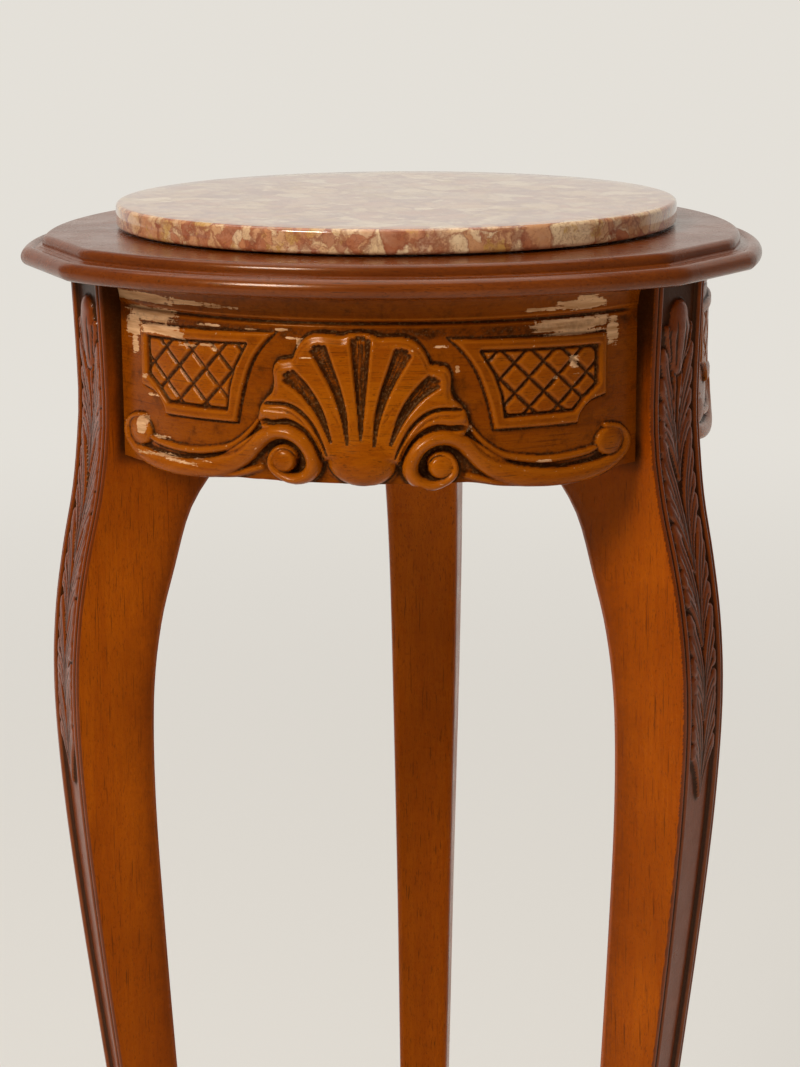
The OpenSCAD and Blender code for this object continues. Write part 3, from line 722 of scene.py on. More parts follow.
def carve_volute(relief):
    """The lip of the shell, the ribbon that rolls up under it, and the eye."""
    relief.cut([(42.4, 22.4), (39.0, 24.0), (34.8, 23.8), (29.2, 24.4), (24.0, 22.4),
                (20.0, 19.2), (17.1, 14.2), (15.9, 9), (15.6, 5), (18, 0)],
               [0.8, 1.2, 1.3, 1.4, 1.4, 1.4, 1.4, 1.4, 1.4, 1.2],
               [1, 6, 6, 6, 6, 6, 6, 6, 6, 6], power=0.5, glaze=0.55, floor=2.3)
    relief.roll([(38.9, 27.9), (34.8, 27.6), (29.8, 27.9), (24.9, 26.0), (20.3, 21.9),
                 (17.2, 16.4), (15.3, 11.0)],
                [2.6, 3.0, 2.6, 2.3, 1.8, 1.2, 0.8], [5.2, 5.1, 5.0, 4.9, 4.8, 4.6, 4.0],
                0.5, 0.42)
    relief.cut([(40.6, 31.4), (36.6, 31.6), (30.2, 31.6), (24.8, 29.4), (19.4, 24.2),
                (15.6, 17.4), (13.4, 12.0)],
               [0.7, 1.1, 1.2, 1.2, 1.1, 0.9, 0.6], [0.8, 1.9, 2.3, 2.3, 2.1, 1.7, 0.8],
               power=0.8)
    relief.cut([(36, 29.0), (30.4, 28.9), (24.6, 26.2), (19.8, 20.6)],
               [0.4, 0.8, 0.8, 0.4], [0.2, 0.7, 0.7, 0.3], glaze=0.4)
    x, y, width, top = (np.array(line) for line in zip(*RIBBON))
    relief.cut([(41.0, 7.0), (40.2, 11.2), (36.6, 15.4), (31.6, 16.3), (27.2, 15.0),
                (24.5, 11.6), (24.4, 7.6), (26.6, 4.4), (30.0, 3.6)],
               [2.2, 2.4, 2.0, 1.8, 1.8, 1.8, 1.7, 1.2, 0.7], [9] * 9,
               power=0.2, glaze=0.6, floor=0.8)
    relief.roll(np.column_stack([x, y]), width, top, 0.5, 0.45)
    relief.cut([(42.5, 19.5), (46.0, 15.2), (50.0, 11.6), (54.9, 9.2), (59.5, 8.0),
                (64.4, 6.9), (71.9, 5.4), (80.2, 4.7), (88, 5.4), (94.0, 7.0)],
               [0.8, 1.3, 1.5, 1.4, 1.2, 1.1, 1.0, 0.9, 0.8, 0.5],
               [0.8, 1.2, 1.2, 1.0, 0.8, 0.7, 0.7, 0.7, 0.6, 0.3], glaze=0.3)
    q = np.hypot(relief.x - EYE[0], relief.y - EYE[1]) / EYE_R
    knob = 1.4 + 3.9 * np.clip(1 - q ** 2, 0, 1) ** 0.25
    relief.z[q < 1] = np.maximum(relief.z, knob)[q < 1]
    around = [(EYE[0] + EYE_R * math.cos(math.radians(a)),
               EYE[1] + EYE_R * math.sin(math.radians(a))) for a in range(40, 241, 40)]
    relief.cut(around, [0.3, 0.7, 0.8, 0.8, 0.8, 0.4], [0.2, 1.1, 1.4, 1.5, 1.4, 0.4], glaze=0.8)


def carve_boss(relief):
    x, y = relief.x, relief.y
    q = np.hypot(x / 14.0, (y - HUB_UP) / np.where(y > HUB_UP, 15.0, 10.4))
    height = 8.0 * np.clip(1 - q ** 2, 0, 1) ** 0.45
    relief.z[:] = np.where(q < 1.1, blend(relief.z, height, 1.6), relief.z)


def carve_scroll(relief):
    """The thin bead over the scroll's groove, the leaf under it and the disc in its curl."""
    relief.roll([(42.6, 24.4), (45.6, 20.2), (50.0, 15.4), (55.2, 11.7), (61, 10.0), (69, 8.5),
                 (76, 8.1), (84, 8.6), (90, 9.6), (94, 11.2)],
                [0.8, 1.1, 1.4, 1.6, 1.6, 1.6, 1.6, 1.6, 1.5, 0.9],
                [1.2, 1.5, 1.7, 1.8, 1.8, 1.8, 1.8, 1.8, 1.8, 1.4], 0.2, 0.5)
    relief.roll([(66.0, -2.4), (61.8, -1.3), (55.1, 0.0), (48.0, 2.0), (42.1, 3.9)],
                [0.6, 1.1, 1.6, 1.9, 1.6], [0.9, 1.4, 1.8, 2.0, 1.4], 0.0, 0.9)
    q = np.hypot((relief.x - 97.4) / 5.3, (relief.y - 12.4) / 6.0)
    disc = 2.8 * np.clip(1 - q ** 2, 0, 1) ** 0.22
    relief.z[q < 0.98] = disc[q < 0.98]
    # Glaze and painted shade in a ring round the disc
    relief.cut_in[:] = np.maximum(relief.cut_in, 0.8 * np.clip(1 - np.abs(q - 1) / 0.12, 0, 1))


PANEL_FRAME = np.vstack([
    smooth_curve([(34.4, 60.3), (40.4, 54.2), (45.5, 46.2), (49.6, 34.0), (52.1, 21.8)], 4),
    smooth_curve([(85.2, 21.4), (86.2, 25.6), (90.2, 30.2), (96.6, 32.2)], 4),
    [(96.6, 58.4)]])
PANEL_FIELD = np.array([(56.6, 27.2), (83.2, 27.2), (87.8, 32.6), (92.8, 37.6), (92.8, 53.2),
                        (47.4, 54.6), (52.8, 45.0), (55.4, 36.6)])
# a crossing of the trellis, x and y, and its pitch, on the left panel and on the right one
TRELLIS = [(78.5, 43.0, 12.2, 13.8), (66.3, 42.6, 11.4, 12.5)]


def carve_panel(relief, left):
    """A flat frame around a sunk field of small pads between crossed cuts."""
    relief.plate(PANEL_FRAME, 1.9, -0.3, 1.0)
    at = relief.near(PANEL_FIELD, 2)
    d = relief.inside(PANEL_FIELD, at)
    x0, y0, step_x, step_y = (np.where(left[at], a, b) for a, b in zip(*TRELLIS))
    u, v = (relief.x[at] - x0) / step_x, (relief.y[at] - y0) / step_y
    pitch = 1 / np.hypot(1 / step_x, 1 / step_y)
    near_cut = np.minimum(*(pitch * np.abs(w - np.round(w)) for w in (u + v, u - v)))
    pad = 1.5 * np.sin(np.clip(near_cut / 1.5, 0, 1) * math.pi / 2)
    pad = (pad + 0.06 * np.sqrt(near_cut)) * ease(-0.2, 1.2, d)
    field = -0.7 + pad
    relief.z[at] += (field - relief.z[at]) * ease(-1.2, 0.3, d)
    # Glaze and painted shade in the crossed cuts and along the field's edge
    cut_glaze_and_shade = 0.85 * ease(-0.3, 0.3, d) * np.clip(1.5 - near_cut / 0.8, 0, 1)
    rim = 0.8 * np.clip(1.4 - np.abs(d) / 0.7, 0, 1)
    # The pads count as raised, so the low ground's glaze and painted shade leaves them light
    relief.bright[at] = 0.9 * ease(0.4, 1.2, d) * ease(0.5, 1.4, near_cut)
    relief.cut_in[at] = np.maximum(relief.cut_in[at], np.maximum(cut_glaze_and_shade, rim))
    outline = np.vstack([PANEL_FRAME, PANEL_FRAME[:1]])
    for a, b in zip(outline[:-1], outline[1:]):
        relief.cut([a, (a + b) / 2, b], [0.7, 0.7], [0.5, 0.5], glaze=0.9)


def carved_rail(x, y, ground, hand):
    """The whole relief. hand shifts the small waver of the cuts, so that no two rails match."""
    waver = 0.25 * np.sin(x / 17 + hand) + 0.2 * np.sin(y / 9 + x / 31 + 2 * hand)
    relief = Relief(np.abs(x - MIDDLE) + 0.6 * waver, y + lean(x) + 0.5 * waver, ground)
    carve_panel(relief, x < MIDDLE)
    carve_scroll(relief)
    carve_shell(relief)
    carve_boss(relief)
    carve_volute(relief)
    line = 1 - np.clip(np.abs(y - LINE_UP - 0.2 * waver) / 1.0, 0, 1)
    line *= ease(109, 101, np.abs(x))
    over = relief.z <= ground + 0.8
    relief.z -= 1.4 * line * over
    # Painted shade in a band under the cut line, where the board's overhang shades the rail
    under = 0.56 * ease(56, 61, y) * ease(66, 65, y)
    relief.cut_in = np.maximum(relief.cut_in, np.maximum(line, under) * over)
    relief.z = blurred(np.maximum(relief.z, -1.6), 0.55)
    return relief


# x, y, half-width, half-height and strength of each rubbed patch, as seen from the front
LEFT_WEAR = [
    (-96, 70.2, 15, 2.0, 1.1), (-74, 70.3, 13, 1.0, 0.95), (-60, 69.8, 9, 0.5, 0.8),
    (-92.5, 63.4, 11, 2.8, 1.1), (-102, 57.5, 3.4, 4.5, 1.0), (-101, 50, 1.6, 5.0, 0.9),
    (-86.5, 57.8, 9.5, 1.9, 1.1), (-78.5, 56.4, 3, 1.6, 0.95), (-96.4, 16.4, 1.8, 3.2, 1.6),
    (-89, 4.9, 9, 0.8, 0.75), (-77, 3.7, 8, 0.8, 0.8), (-67, 5.6, 5, 0.5, 0.72),
    (-88, 12.4, 4, 0.9, 0.8), (-91, 29.4, 4, 0.7, 0.75), (-95, 37, 1.6, 1.2, 0.8),
    (-66, 62.0, 6, 0.5, 0.8), (-47, 61.6, 3, 0.5, 0.85), (-33.5, 62.0, 2.6, 0.6, 0.9),
    (-28.5, 58.8, 3.4, 0.6, 0.95), (-26.5, 56.6, 0.9, 1.6, 0.95), (-22.5, 52.0, 3.2, 0.45, 0.9),
    (-75, 52.8, 4, 0.7, 0.8), (-66, 53.8, 2.6, 0.6, 0.95), (-62.6, 52.6, 1.0, 1.4, 0.9)]
RIGHT_WEAR = [
    (86, 69.8, 9, 2.0, 1.1), (73, 69.0, 9, 0.8, 0.85), (88, 72.0, 4, 1.6, 0.95),
    (81, 61.8, 14, 2.4, 1.1), (94, 62.4, 3, 2.4, 0.95), (98.8, 57.5, 2.2, 5.4, 1.05),
    (84, 58.4, 12, 0.8, 0.95), (83.4, 46.4, 1.7, 2.6, 0.9), (84, 41.6, 1.5, 0.5, 0.9),
    (76, 40.6, 1.0, 0.7, 0.9), (71, 6.8, 4, 0.7, 0.8), (31.5, 56.0, 3.2, 0.5, 0.9),
    (37.5, 46.5, 0.8, 1.6, 0.9), (42, 22.5, 1.2, 1.6, 0.75)]


def wear(x, y, patches):
    """How rubbed each place is: blocks with soft ragged edges."""
    worn = np.zeros_like(x)
    for px, py, wide, high, strength in patches:
        q = ((x - px) / wide) ** 4 + ((y - py) / high) ** 4
        worn = np.maximum(worn, strength * np.exp(-0.55 * q))
    return worn


def rail_columns():
    """Shares of the rail's half-width, closer together over the shell and the volutes."""
    return np.concatenate([np.linspace(-1, -BUSY, CALM_COLUMNS)[:-1],
                           np.linspace(-BUSY, BUSY, BUSY_COLUMNS),
                           np.linspace(BUSY, 1, CALM_COLUMNS)[1:]])[None, :]


def rail_face(u):
    """Where each place of the carved face lies: across the rail and up it."""
    reach = math.radians(THIRD / 2) - math.asin(LEG_HALF / RAIL_R)
    row = np.arange(FOOT_ROWS + FACE_ROWS + 1)[:, None]
    x = np.broadcast_to(RAIL_R * np.sin(u * reach), (row.size, u.size))
    foot = rail_foot(x)
    y = np.where(row < FOOT_ROWS, foot + (FOOT_UP - foot) * row / FOOT_ROWS,
                 FOOT_UP + (RAIL_H - FOOT_UP) * (row - FOOT_ROWS) / FACE_ROWS)
    return x, y


def rail_rest(foot, foot_r):
    """Radius and height of the rows over the top, down the inner face and out to the foot,
    which has the radius foot_r."""
    row = np.arange(1, TOP_ROWS + BACK_ROWS + UNDER_ROWS + 1)[:, None]
    inward = np.clip(row / TOP_ROWS, 0, 1)
    down = np.clip((row - TOP_ROWS) / BACK_ROWS, 0, 1)
    outward = np.clip((row - TOP_ROWS - BACK_ROWS) / UNDER_ROWS, 0, 1)
    top_r = RAIL_R + COVE_OUT
    radius = top_r + (RAIL_IN_R - top_r) * inward + (foot_r - RAIL_IN_R) * outward
    return radius, RAIL_H + (foot - RAIL_H) * down


def rail_piece(name, turn, hand, patches):
    u = rail_columns()
    face_x, face_y = rail_face(u)
    ground = rail_ground(face_y)
    relief = carved_rail(face_x, face_y, ground, hand)
    hollow, proud = relief.hollows(cell=0.5)
    raised = np.maximum(ease(0.6, 3.6, relief.z - 0.8 * ground), relief.bright)
    face_r = RAIL_R + relief.z
    rest_r, rest_y = rail_rest(face_y[:1], face_r[:1])
    radius, y = np.vstack([face_r, rest_r]), np.vstack([face_y, rest_y])
    x = np.broadcast_to(face_x[:1], y.shape)
    reach = math.radians(THIRD / 2) - np.arcsin(LEG_HALF / radius)
    angle = u * reach + math.radians(turn)
    place = np.stack([AXIS.x + MM * radius * np.sin(angle), AXIS.y - MM * radius * np.cos(angle),
                      MM * (RAIL_Z + y)], -1)

    def full(field):
        return np.vstack([field, np.zeros(rest_y.shape)])

    bm = sheet_bmesh(place, {
        "hollow": full(hollow), "proud": full(proud), "raised": full(raised),
        "sheen": full(0.35 * proud * raised), "worn": full(wear(face_x, face_y, patches)),
        "grain_at": np.stack([MM * y, MM * radius, MM * x + hand], -1)})
    close_shell(bm)
    piece = new_piece(name, bm, rail_wood)
    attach(piece, "stand")
    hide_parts(name.replace("carved_", ""))
    return piece


# The carved legs

def leg_sections(levels):
    """Outer radius, inner radius and half-width of the back leg's solid at each level."""
    whole = bmesh.new()
    whole.from_mesh(frame["nodes"]["leg_back"].data)
    sections = []
    for level in levels:
        bm = whole.copy()
        geometry = bm.verts[:] + bm.edges[:] + bm.faces[:]
        sliced = bmesh.ops.bisect_plane(bm, geom=geometry, plane_co=(0, 0, level * MM),
                                        plane_no=(0, 0, 1))
        ring = [g.co for g in sliced["geom_cut"] if isinstance(g, bmesh.types.BMVert)]
        sections.append((max(c.y for c in ring) - AXIS.y, min(c.y for c in ring) - AXIS.y,
                         max(abs(c.x) for c in ring)))
        bm.free()
    whole.free()
    return np.array(sections).T / MM


# The beaded margins of a leg's face, how deep the field between them is sunk, and the chamfer
# at the back of its sides
BEAD_W, FIELD_DEEP, LEG_CHAMFER = 6.6, 1.9, 3.2
HEIGHT = DISC_Z + DISC_T
# Rows of a leg are close from the board down to here, past the lowest leaf
FINE_END, FINE_STEP = 464, 0.55
COARSE_ROWS = 200
FIELD_COLUMNS, BACK_COLUMNS = 48, 10
# How far back each column of a leg's side lies, as a share of the side
SIDE_SHARES = np.array([[0.012, 0.05, 0.12, 0.22, 0.35, 0.5, 0.68, 0.86, 1.0]])
# How much darker a leg's carved face is all over, and the painted shade on its sides towards the
# back
LEG_SHADE = 0.42
# Painted shade on the sides of a leg at each height over the lower edge of the rails, where the
# rails and the board shade them
SHADE_UP = [-60, -20, 8, 30, 64, 80]
SHADE = [0.0, 0.24, 0.36, 0.46, 0.78, 0.85]
LEAF_TIERS = [
    # how far below the marble the tier's base is, its tips on the right and those on the left
    (101, (53, 63.5, 73), (53.5, 66, 76)),
    (140, (89.5, 99, 109), (91, 100.5, 110)),
    (172, (128, 137.5, 147), (128.5, 138, 148)),
    (205, (165.5, 175.5, 185), (167, 176, 186)),
    (240, (194, 204, 214), (196, 206, 216)),
]
# Columns in from either edge of the face
EDGE_COLUMNS = [0, 0.35, 0.8, 1.3, 1.8, 2.2, 2.5, 2.8, 3.1, 3.5, 3.9, 4.3, 4.7, 5.0, 5.3, 5.6,
                6.1, 6.6]


def below(points, side=1):
    """Places on a leg's face, given by how far out and how far below the marble they lie."""
    return [(side * x, HEIGHT - depth) for x, depth in points]


def leaf_lobe(relief, side, tip, base, out):
    """One long lobe from the stem out to its rounded tip."""
    run = base - tip
    points = below([(0.3, base + 2), (0.10 * out, base - 0.22 * run),
                    (0.30 * out, base - 0.50 * run), (0.60 * out, base - 0.74 * run),
                    (out - 3.8, tip + 6), (out - 2.8, tip + 2.8)], side)
    relief.roll(points, [0.9, 1.8, 2.5, 2.9, 3.1, 2.4], [1.3, 1.4, 1.6, 1.7, 1.8, 1.6],
                0.7, 0.33, hides=True)
    relief.cut(points[:5], [0.2, 0.5, 0.6, 0.5, 0.2], [0.1, 0.5, 0.5, 0.4, 0.1], glaze=0.5)


def carve_leaves(relief, reach):
    """Tiers of long lobes, each tier growing from under the one above it."""
    for base, right, left in reversed(LEAF_TIERS):
        leaf_lobe(relief, 1, right[2] + 9, base + 9, reach(right[2] + 9))
        leaf_lobe(relief, -1, left[2] + 8, base + 8, reach(left[2] + 8))
        for k in (2, 1, 0):
            for side, tip in ((1, right[k]), (-1, left[k])):
                leaf_lobe(relief, side, tip, base, reach(tip))
        relief.cut(below([(0, base + 3), (0.2, 0.6 * base + 0.4 * right[0]), (0, right[0] + 8)]),
                   [0.3, 0.7, 0.5], [0.3, 0.8, 0.5], glaze=0.7)
    for side in (1, -1):
        relief.roll(below([(1.2, 86), (2.0, 72), (3.4, 62), (3.2, 60)], side),
                    [0.8, 1.5, 1.7, 1.2], [1.6, 2.2, 2.5, 2.3], -0.3, 0.42, hides=True)
        relief.roll(below([(4.4, 61), (7.4, 54), (9.2, 46.5)], side),
                    [1.4, 2.8, 2.2], [1.8, 2.4, 2.3], -0.3, 0.45, hides=True)
    relief.roll(below([(0, 63), (0, 55), (0, 47), (0, 42)]),
                [4.4, 7.4, 9.4, 7.6], [2.3, 2.9, 3.1, 2.7], -0.4, 0.34, hides=True)
    for side in (1, -1):
        relief.cut(below([(2.2, 62), (3.4, 52), (3.2, 43)], side),
                   [0.5, 0.9, 0.3], [0.8, 0.9, 0.2], glaze=0.8)
        relief.cut(below([(5.0, 60), (7.2, 52), (7.6, 47)], side),
                   [0.4, 0.7, 0.3], [0.5, 0.6, 0.2], glaze=0.6)


def leg_face(across, half, level):
    """Beads down both edges, a sunk field between them and leaves in the field."""
    from_edge = half - np.abs(across)
    ground = -FIELD_DEEP * ease(BEAD_W - 1.6, BEAD_W - 0.7, from_edge)
    ground += 0.45 * np.clip(1 - ((from_edge - 4.3) / 1.3) ** 2, 0, 1) ** 0.5
    groove = np.clip(1 - np.abs(from_edge - 2.5) / 0.7, 0, 1)
    ground -= 0.9 * groove
    ground -= 1.1 * (1 - np.clip(from_edge / 1.5, 0, 1)) ** 2
    relief = Relief(across, level, np.full_like(ground, -9.0))
    knots = HEIGHT - level[::-1, 0]
    carve_leaves(relief, lambda depth: np.interp(depth, knots, half[::-1, 0]) - BEAD_W + 0.4)
    leaf = relief.z - FIELD_DEEP + 0.5
    in_field = (relief.z > -8) & (from_edge > BEAD_W - 1.4)
    relief.z = blurred(np.where(in_field, np.maximum(ground, leaf), ground), 0.6)
    # Glaze and painted shade in the leaf cuts and in the grooves beside the beads
    relief.cut_in = np.maximum(relief.cut_in * in_field, 0.8 * groove)
    return relief


def leg_columns(half):
    """Places across the face: close over the beads, even over the field."""
    edge = np.array([EDGE_COLUMNS])
    field = np.linspace(-1, 1, FIELD_COLUMNS + 1)[None, 1:-1] * (half - BEAD_W)
    return np.hstack([edge - half, field, (half - edge)[:, ::-1]])


def leg_ring(face_x, face_r, inner, half):
    """Places across and radii all round: face, one side, inner face and the other side."""
    first, last = face_r[:, :1], face_r[:, -1:]
    side_in = inner + LEG_CHAMFER
    turn_in = np.linspace(0, 1, BACK_COLUMNS + 1)[None, 1:-1]
    arris = [0, 0.08, 0.16, 0.84, 0.92, 1]
    inner_x = half * np.interp(turn_in, arris, [1, 0.97, 0.86, -0.86, -0.97, -1])
    inner_r = inner + LEG_CHAMFER * np.interp(turn_in, arris, [1, 0.35, 0, 0, 0.35, 1])
    side_x = np.repeat(half, SIDE_SHARES.size, 1)
    radius = np.hstack([face_r, last + SIDE_SHARES * (side_in - last), inner_r,
                        first + SIDE_SHARES[:, ::-1] * (side_in - first), first])
    return np.hstack([face_x, side_x, inner_x, -side_x, face_x[:, :1]]), radius


def leg_shade(z, radius, outer, face):
    """Painted shade on a leg: beside the rails, in the corner under them and towards its back.
    face is how many columns its carved face has."""
    past_rail = (radius - RAIL_R) / (outer - RAIL_R)
    by_rail = np.interp(z - RAIL_Z, SHADE_UP, SHADE) * ease(1.0, 0.75, past_rail)
    corner = 0.85 * ease(RAIL_Z - 14, RAIL_Z + 6, z) * ease(0.68, 0.22, past_rail)
    sides = np.zeros(z.shape)
    sides[:, face:face + SIDE_SHARES.size] = LEG_SHADE * SIDE_SHARES
    sides[:, -1 - SIDE_SHARES.size:-1] = LEG_SHADE * SIDE_SHARES[:, ::-1]
    return np.maximum(np.maximum(by_rail, corner), sides)


def leg_piece(name, bearing, hand):
    fine = np.arange(BOARD_Z, FINE_END, -FINE_STEP)
    levels = np.concatenate([fine, np.linspace(FINE_END, 0, COARSE_ROWS)])[::-1]
    knots = np.concatenate([np.linspace(0.5, RAIL_Z - 0.5, 96),
                            np.linspace(RAIL_Z + 2, BOARD_Z - 1, 8)])
    outer, inner, half = (np.interp(levels, knots, line)[:, None] for line in leg_sections(knots))
    face_x = leg_columns(half)
    level = np.broadcast_to(levels[:, None], face_x.shape)
    relief = leg_face(face_x, half, level)
    hollow, proud = relief.hollows(cell=0.6)
    hollow[:, (0, 1, -2, -1)] = 0.15
    # The carved face is darker all over, with a little painted shade near the top, under the
    # board
    hollow += LEG_SHADE + 0.04 * ease(RAIL_Z + 25, BOARD_Z, level)
    raised = 0.10 * ease(-1.6, 0.6, relief.z)
    out = blurred(relief.z, 0.6) * ease(4, 26, level)
    x, radius = leg_ring(face_x, outer + out, inner, half)
    z = np.broadcast_to(levels[:, None], x.shape)
    angle = math.radians(bearing)
    place = np.stack([AXIS.x + MM * (radius * math.cos(angle) - x * math.sin(angle)),
                      AXIS.y + MM * (radius * math.sin(angle) + x * math.cos(angle)),
                      MM * z], -1)

    def full(part, rest=0.0):
        wide = np.full(x.shape, rest)
        wide[:, :face_x.shape[1]] = part
        return wide

    shade = leg_shade(z, radius, outer, face_x.shape[1])
    # The painted shade of leg_shade goes into the same mark as the glaze and painted shade of the
    # hollows
    bm = sheet_bmesh(place, {
        "hollow": np.maximum(full(hollow), shade), "proud": full(0.45 * proud),
        "raised": full(raised, 1.0), "sheen": full(1.0), "worn": np.zeros(x.shape),
        "grain_at": np.stack([MM * x, MM * radius, MM * z + hand], -1)})
    close_shell(bm)
    piece = new_piece(name, bm, leg_wood)
    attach(piece, "stand")
    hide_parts(name.replace("carved_", ""))
    return piece


# The moulded top board

# The board's flat: from its middle to a bowed side, the bow's radius, and to a short side
SIDE_MID_R, SIDE_BOW_R, CORNER_MID_R = 144.6, 182, 153.2
# Its edge: the round at the top, the step under it, how far the nose comes out and its radius
EDGE_ROUND_R, EDGE_STEP = 3, 1.3
NOSE_OUT, NOSE_R = 12.5, 4.05


def board_plan(out, steps=48, corner_steps=10):
    """Plan of the board, out from the edge of its flat: three bowed sides, three short."""
    back = SIDE_BOW_R - SIDE_MID_R
    radius = SIDE_BOW_R + out
    end = math.asin((CORNER_MID_R + out + back / 2) / radius) - math.radians(30)

    def on_bow(side, share):
        a, turn = end * share, math.radians(side * THIRD)
        x, y = radius * math.sin(a), back - radius * math.cos(a)
        return (x * math.cos(turn) - y * math.sin(turn), x * math.sin(turn) + y * math.cos(turn))

    plan = []
    for side in range(3):
        plan += [on_bow(side, 2 * i / steps - 1) for i in range(steps + 1)]
        plan += list(np.linspace(plan[-1], on_bow(side + 1, -1), corner_steps + 1)[1:-1])
    return np.array(plan + plan[:1])


def board_section():
    """The edge from the underside up and round to the flat."""
    step_y = BOARD_T - EDGE_ROUND_R - EDGE_STEP
    points = [(-22, 0), (-8, 0)] + arc((NOSE_OUT - NOSE_R, NOSE_R), NOSE_R, -90, 125, 9)
    end = points[-1]
    lip = (end[0] - 0.35, end[1] - 0.25)
    hollow = smooth_curve([lip, (0.62 * EDGE_ROUND_R + 0.38 * end[0],
                                 0.30 * step_y + 0.70 * end[1]),
                           (EDGE_ROUND_R + 1.2, step_y - 0.55), (EDGE_ROUND_R, step_y)], 5)
    points += [tuple(p) for p in hollow]
    points += [(EDGE_ROUND_R, step_y + 0.5 * EDGE_STEP)]
    points += arc((0, BOARD_T - EDGE_ROUND_R), EDGE_ROUND_R, 0, 90, 10)
    return points + [(-8, BOARD_T), (-22, BOARD_T)]


def top_board():
    rings = []
    for out, height in board_section():
        plan = board_plan(out)
        rings.append(np.column_stack([AXIS.x + MM * plan[:, 0], AXIS.y + MM * plan[:, 1],
                                      np.full(len(plan), MM * (BOARD_Z + height))]))
    place = np.stack(rings)
    bm = sheet_bmesh(place, {"grain_at": place[:, :, (1, 2, 0)]})
    close_shell(bm)
    piece = new_piece("moulded_top_board", bm, board_wood, math.radians(28))
    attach(piece, "stand")
    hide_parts("top_board")
    return piece


def marble_disc():
    """The slab, spun from its section: both edges are rounded and polished."""
    edge_r = 2.0
    points = [(0.0, DISC_T), (DISC_R * 0.5, DISC_T), (DISC_R * 0.9, DISC_T)]
    points += arc((DISC_R - edge_r, DISC_T - edge_r), edge_r, 90, 0, -15)
    points += arc((DISC_R - edge_r, edge_r), edge_r, 0, -90, -15)
    points += [(DISC_R * 0.6, 0.0), (0.0, 0.0)]
    bm = bmesh.new()
    verts = [bm.verts.new((AXIS.x + MM * x, AXIS.y, MM * (DISC_Z + z))) for x, z in points]
    edges = [bm.edges.new(pair) for pair in zip(verts[:-1], verts[1:])]
    bmesh.ops.spin(bm, geom=verts + edges, cent=(AXIS.x, AXIS.y, 0), axis=(0, 0, 1),
                   angle=2 * math.pi, steps=256, use_merge=True)
    close_shell(bm, 1e-6)
    piece = new_piece("polished_marble_disc", bm, marble_material(), math.radians(35))
    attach(piece, "marble")
    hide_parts("marble_disc")
    return piece


rail_piece("carved_rail_front", 0, 0.0, LEFT_WEAR + RIGHT_WEAR)
rail_piece("carved_rail_right", THIRD, 1.7, RIGHT_WEAR[10:])
rail_piece("carved_rail_left", 2 * THIRD, 3.1, LEFT_WEAR[12:15])
leg_piece("carved_leg_front_left", 210, 0.3)
leg_piece("carved_leg_front_right", 330, 0.9)
leg_piece("carved_leg_back", 90, 1.6)
top_board()
marble_disc()

plain_wood, felt, steel = plain_wood_material(), felt_material(), steel_material()
for node_name, node in frame["nodes"].items():
    if node_name.startswith("glue_block") or node_name == "rail_dowels":
        material = plain_wood
    elif node_name == "marble_pads":
        material = felt
    elif node_name == "top_screws":
        material = steel
    else:
        continue
    node.data.materials.clear()
    node.data.materials.append(material)


# Floor, light and camera

PALE = (0.775, 0.745, 0.690, 1)
FLOOR = (0.74, 0.70, 0.64, 1)
WARM_WHITE = (1.0, 0.97, 0.93, 1)
# The backdrop's section: its front edge, the foot of its wall, the bend up into it and its top
FRONT, WALL, BEND, WALL_TOP = -6.0, 4.6, 1.4, 5.0
HALF_WIDE = 6


def seen_ray(n, straight, reflected):
    """One share on rays straight from the camera, another on reflected and refracted ones."""
    path = n.add("ShaderNodeLightPath")
    bounced = n.most(path.outputs["Is Glossy Ray"], path.outputs["Is Transmission Ray"])
    return n.most(n.times(path.outputs["Is Camera Ray"], straight), n.times(bounced, reflected))


def backdrop_material():
    """Matt, with the object's shadow, and paler to the camera the further off it is. To reflected
    rays it glows, most behind the object and to its left, as a painted reflection.
    """
    material, n, shader = new_material("pale backdrop")
    n.feed(shader, {"Base Color": FLOOR, "Roughness": 0.8, "Specular IOR Level": 0.1})
    glow = n.add("ShaderNodeEmission")
    glow.inputs["Color"].default_value = PALE
    place = n.add("ShaderNodeSeparateXYZ")
    n.link(n.objects(), place.inputs[0])
    # To reflected rays the backdrop glows more behind the object and to its left than in front: a
    # painted reflection that puts a pale sheen on the wood's left faces
    behind = n.minus(place.outputs["Y"], n.times(place.outputs["X"], 0.5))
    mirrored = n.span(behind, 0.4, 1.8, 0.06, 0.85)
    away = n.add("ShaderNodeVectorMath", operation="LENGTH")
    n.link(n.objects(), away.inputs[0])
    seen = seen_ray(n, n.span(away.outputs["Value"], 0.7, 3.2, 0.6, 1.0), mirrored)
    mix = n.add("ShaderNodeMixShader")
    n.feed(mix, {0: seen, 1: shader.outputs[0], 2: glow.outputs[0]})
    n.link(mix.outputs[0], material.node_tree.nodes["Material Output"].inputs["Surface"])
    return material


def backdrop():
    """A floor that sweeps up into the wall behind."""
    points = [(FRONT, 0.0)] + arc((WALL - BEND, BEND), BEND, -90, 0, 6) + [(WALL, WALL_TOP)]
    bm = bmesh.new()
    line = [bm.verts.new((-HALF_WIDE, y, z)) for y, z in points]
    edges = [bm.edges.new(pair) for pair in zip(line[:-1], line[1:])]
    side = bmesh.ops.extrude_edge_only(bm, edges=edges)["geom"]
    bmesh.ops.translate(bm, vec=(2 * HALF_WIDE, 0, 0),
                        verts=[g for g in side if isinstance(g, bmesh.types.BMVert)])
    bmesh.ops.recalc_face_normals(bm, faces=bm.faces)
    new_piece("studio_backdrop", bm, backdrop_material())


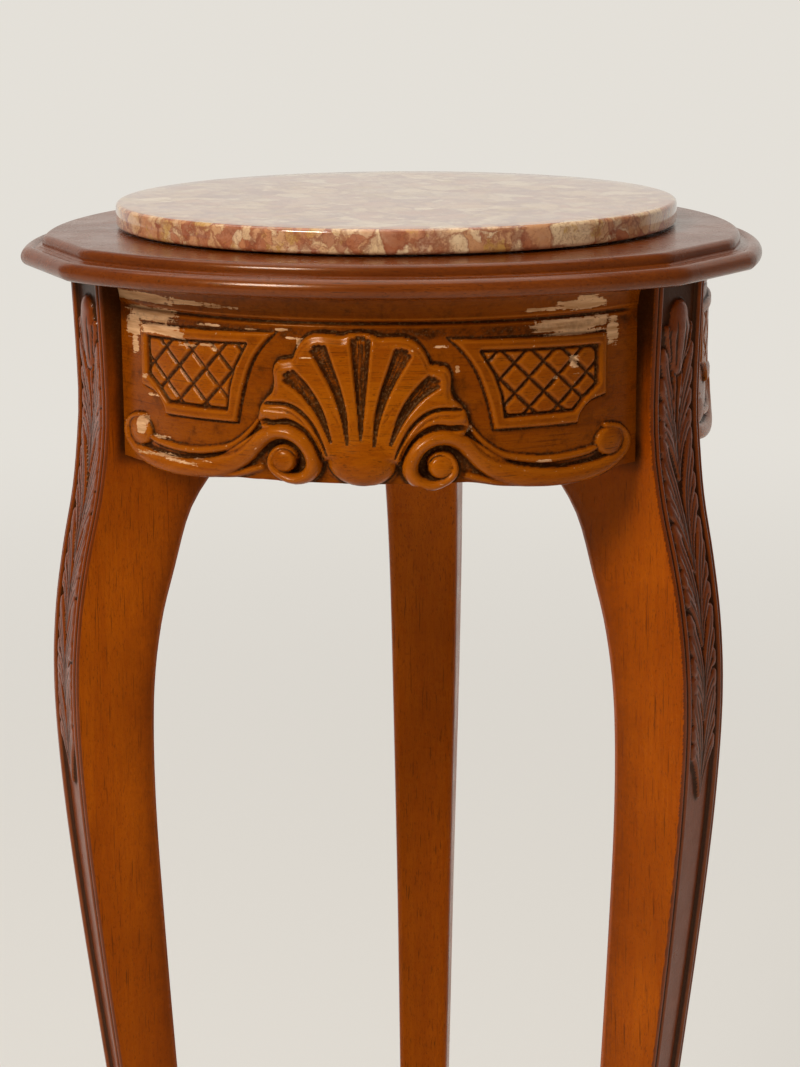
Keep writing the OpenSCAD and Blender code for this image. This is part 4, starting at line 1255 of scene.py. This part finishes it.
def soft_lamp(name, at, aim, side, power, colour=(1, 1, 1), mirrored=True):
    """A square lamp. One that isn't mirrored stays out of the polish."""
    data = bpy.data.lights.new(name, "AREA")
    data.shape = "RECTANGLE"
    data.size, data.size_y = side, side
    data.energy = power
    data.color = colour
    lamp = bpy.data.objects.new(name, data)
    lamp.location = at
    lamp.visible_glossy = mirrored
    lamp.rotation_euler = (Vector(aim) - Vector(at)).to_track_quat("-Z", "Y").to_euler()
    bpy.context.scene.collection.objects.link(lamp)


def surroundings():
    """A dim warm white lights the object; the camera sees it pale."""
    world = bpy.data.worlds.new("studio")
    bpy.context.scene.world = world
    world.use_nodes = True
    n = Nodes(world.node_tree)
    light = world.node_tree.nodes["Background"]
    n.feed(light, {"Color": WARM_WHITE, "Strength": 0.12})
    seen = n.add("ShaderNodeBackground")
    seen.inputs["Color"].default_value = PALE
    mix = n.add("ShaderNodeMixShader")
    n.feed(mix, {0: seen_ray(n, 1.0, 0.06), 1: light.outputs[0], 2: seen.outputs[0]})
    n.link(mix.outputs[0], world.node_tree.nodes["World Output"].inputs["Surface"])


def camera():
    """The photograph's own view, found from the round slab and the legs."""
    data = bpy.data.cameras.new("photo view")
    data.sensor_fit = "VERTICAL"
    data.sensor_height = 36
    data.lens = 89.09
    data.clip_end = 50
    view = bpy.data.objects.new("photo view", data)
    view.location = (0.11682, -1.18326, 0.84270)
    tilt, roll, turn = 76.8282, 0.3541, 5.5398
    view.rotation_euler = [math.radians(a) for a in (tilt, roll, turn)]
    bpy.context.scene.collection.objects.link(view)
    bpy.context.scene.camera = view


backdrop()
soft_lamp("key", at=(-1.25, -1.9, 2.15), aim=(0, 0, 0.60), side=0.75, power=60,
          colour=(1.0, 0.97, 0.92))
soft_lamp("overhead", at=(-0.2, 0.3, 2.9), aim=(0, 0, 0.70), side=2.4, power=33,
          colour=(1.0, 0.98, 0.95))
soft_lamp("left wash", at=(-2.2, 1.0, 1.2), aim=(0, 0, 0.6), side=2.0, power=14,
          colour=(1.0, 0.96, 0.92), mirrored=False)
soft_lamp("right fill", at=(1.9, -1.8, 1.2), aim=(0, 0, 0.55), side=1.4, power=12,
          mirrored=False)
soft_lamp("back fill", at=(1.5, 2.0, 2.6), aim=(0, 0, 0.5), side=1.4, power=12,
          mirrored=False)
surroundings()
camera()
bpy.context.scene.view_settings.view_transform = "Standard"
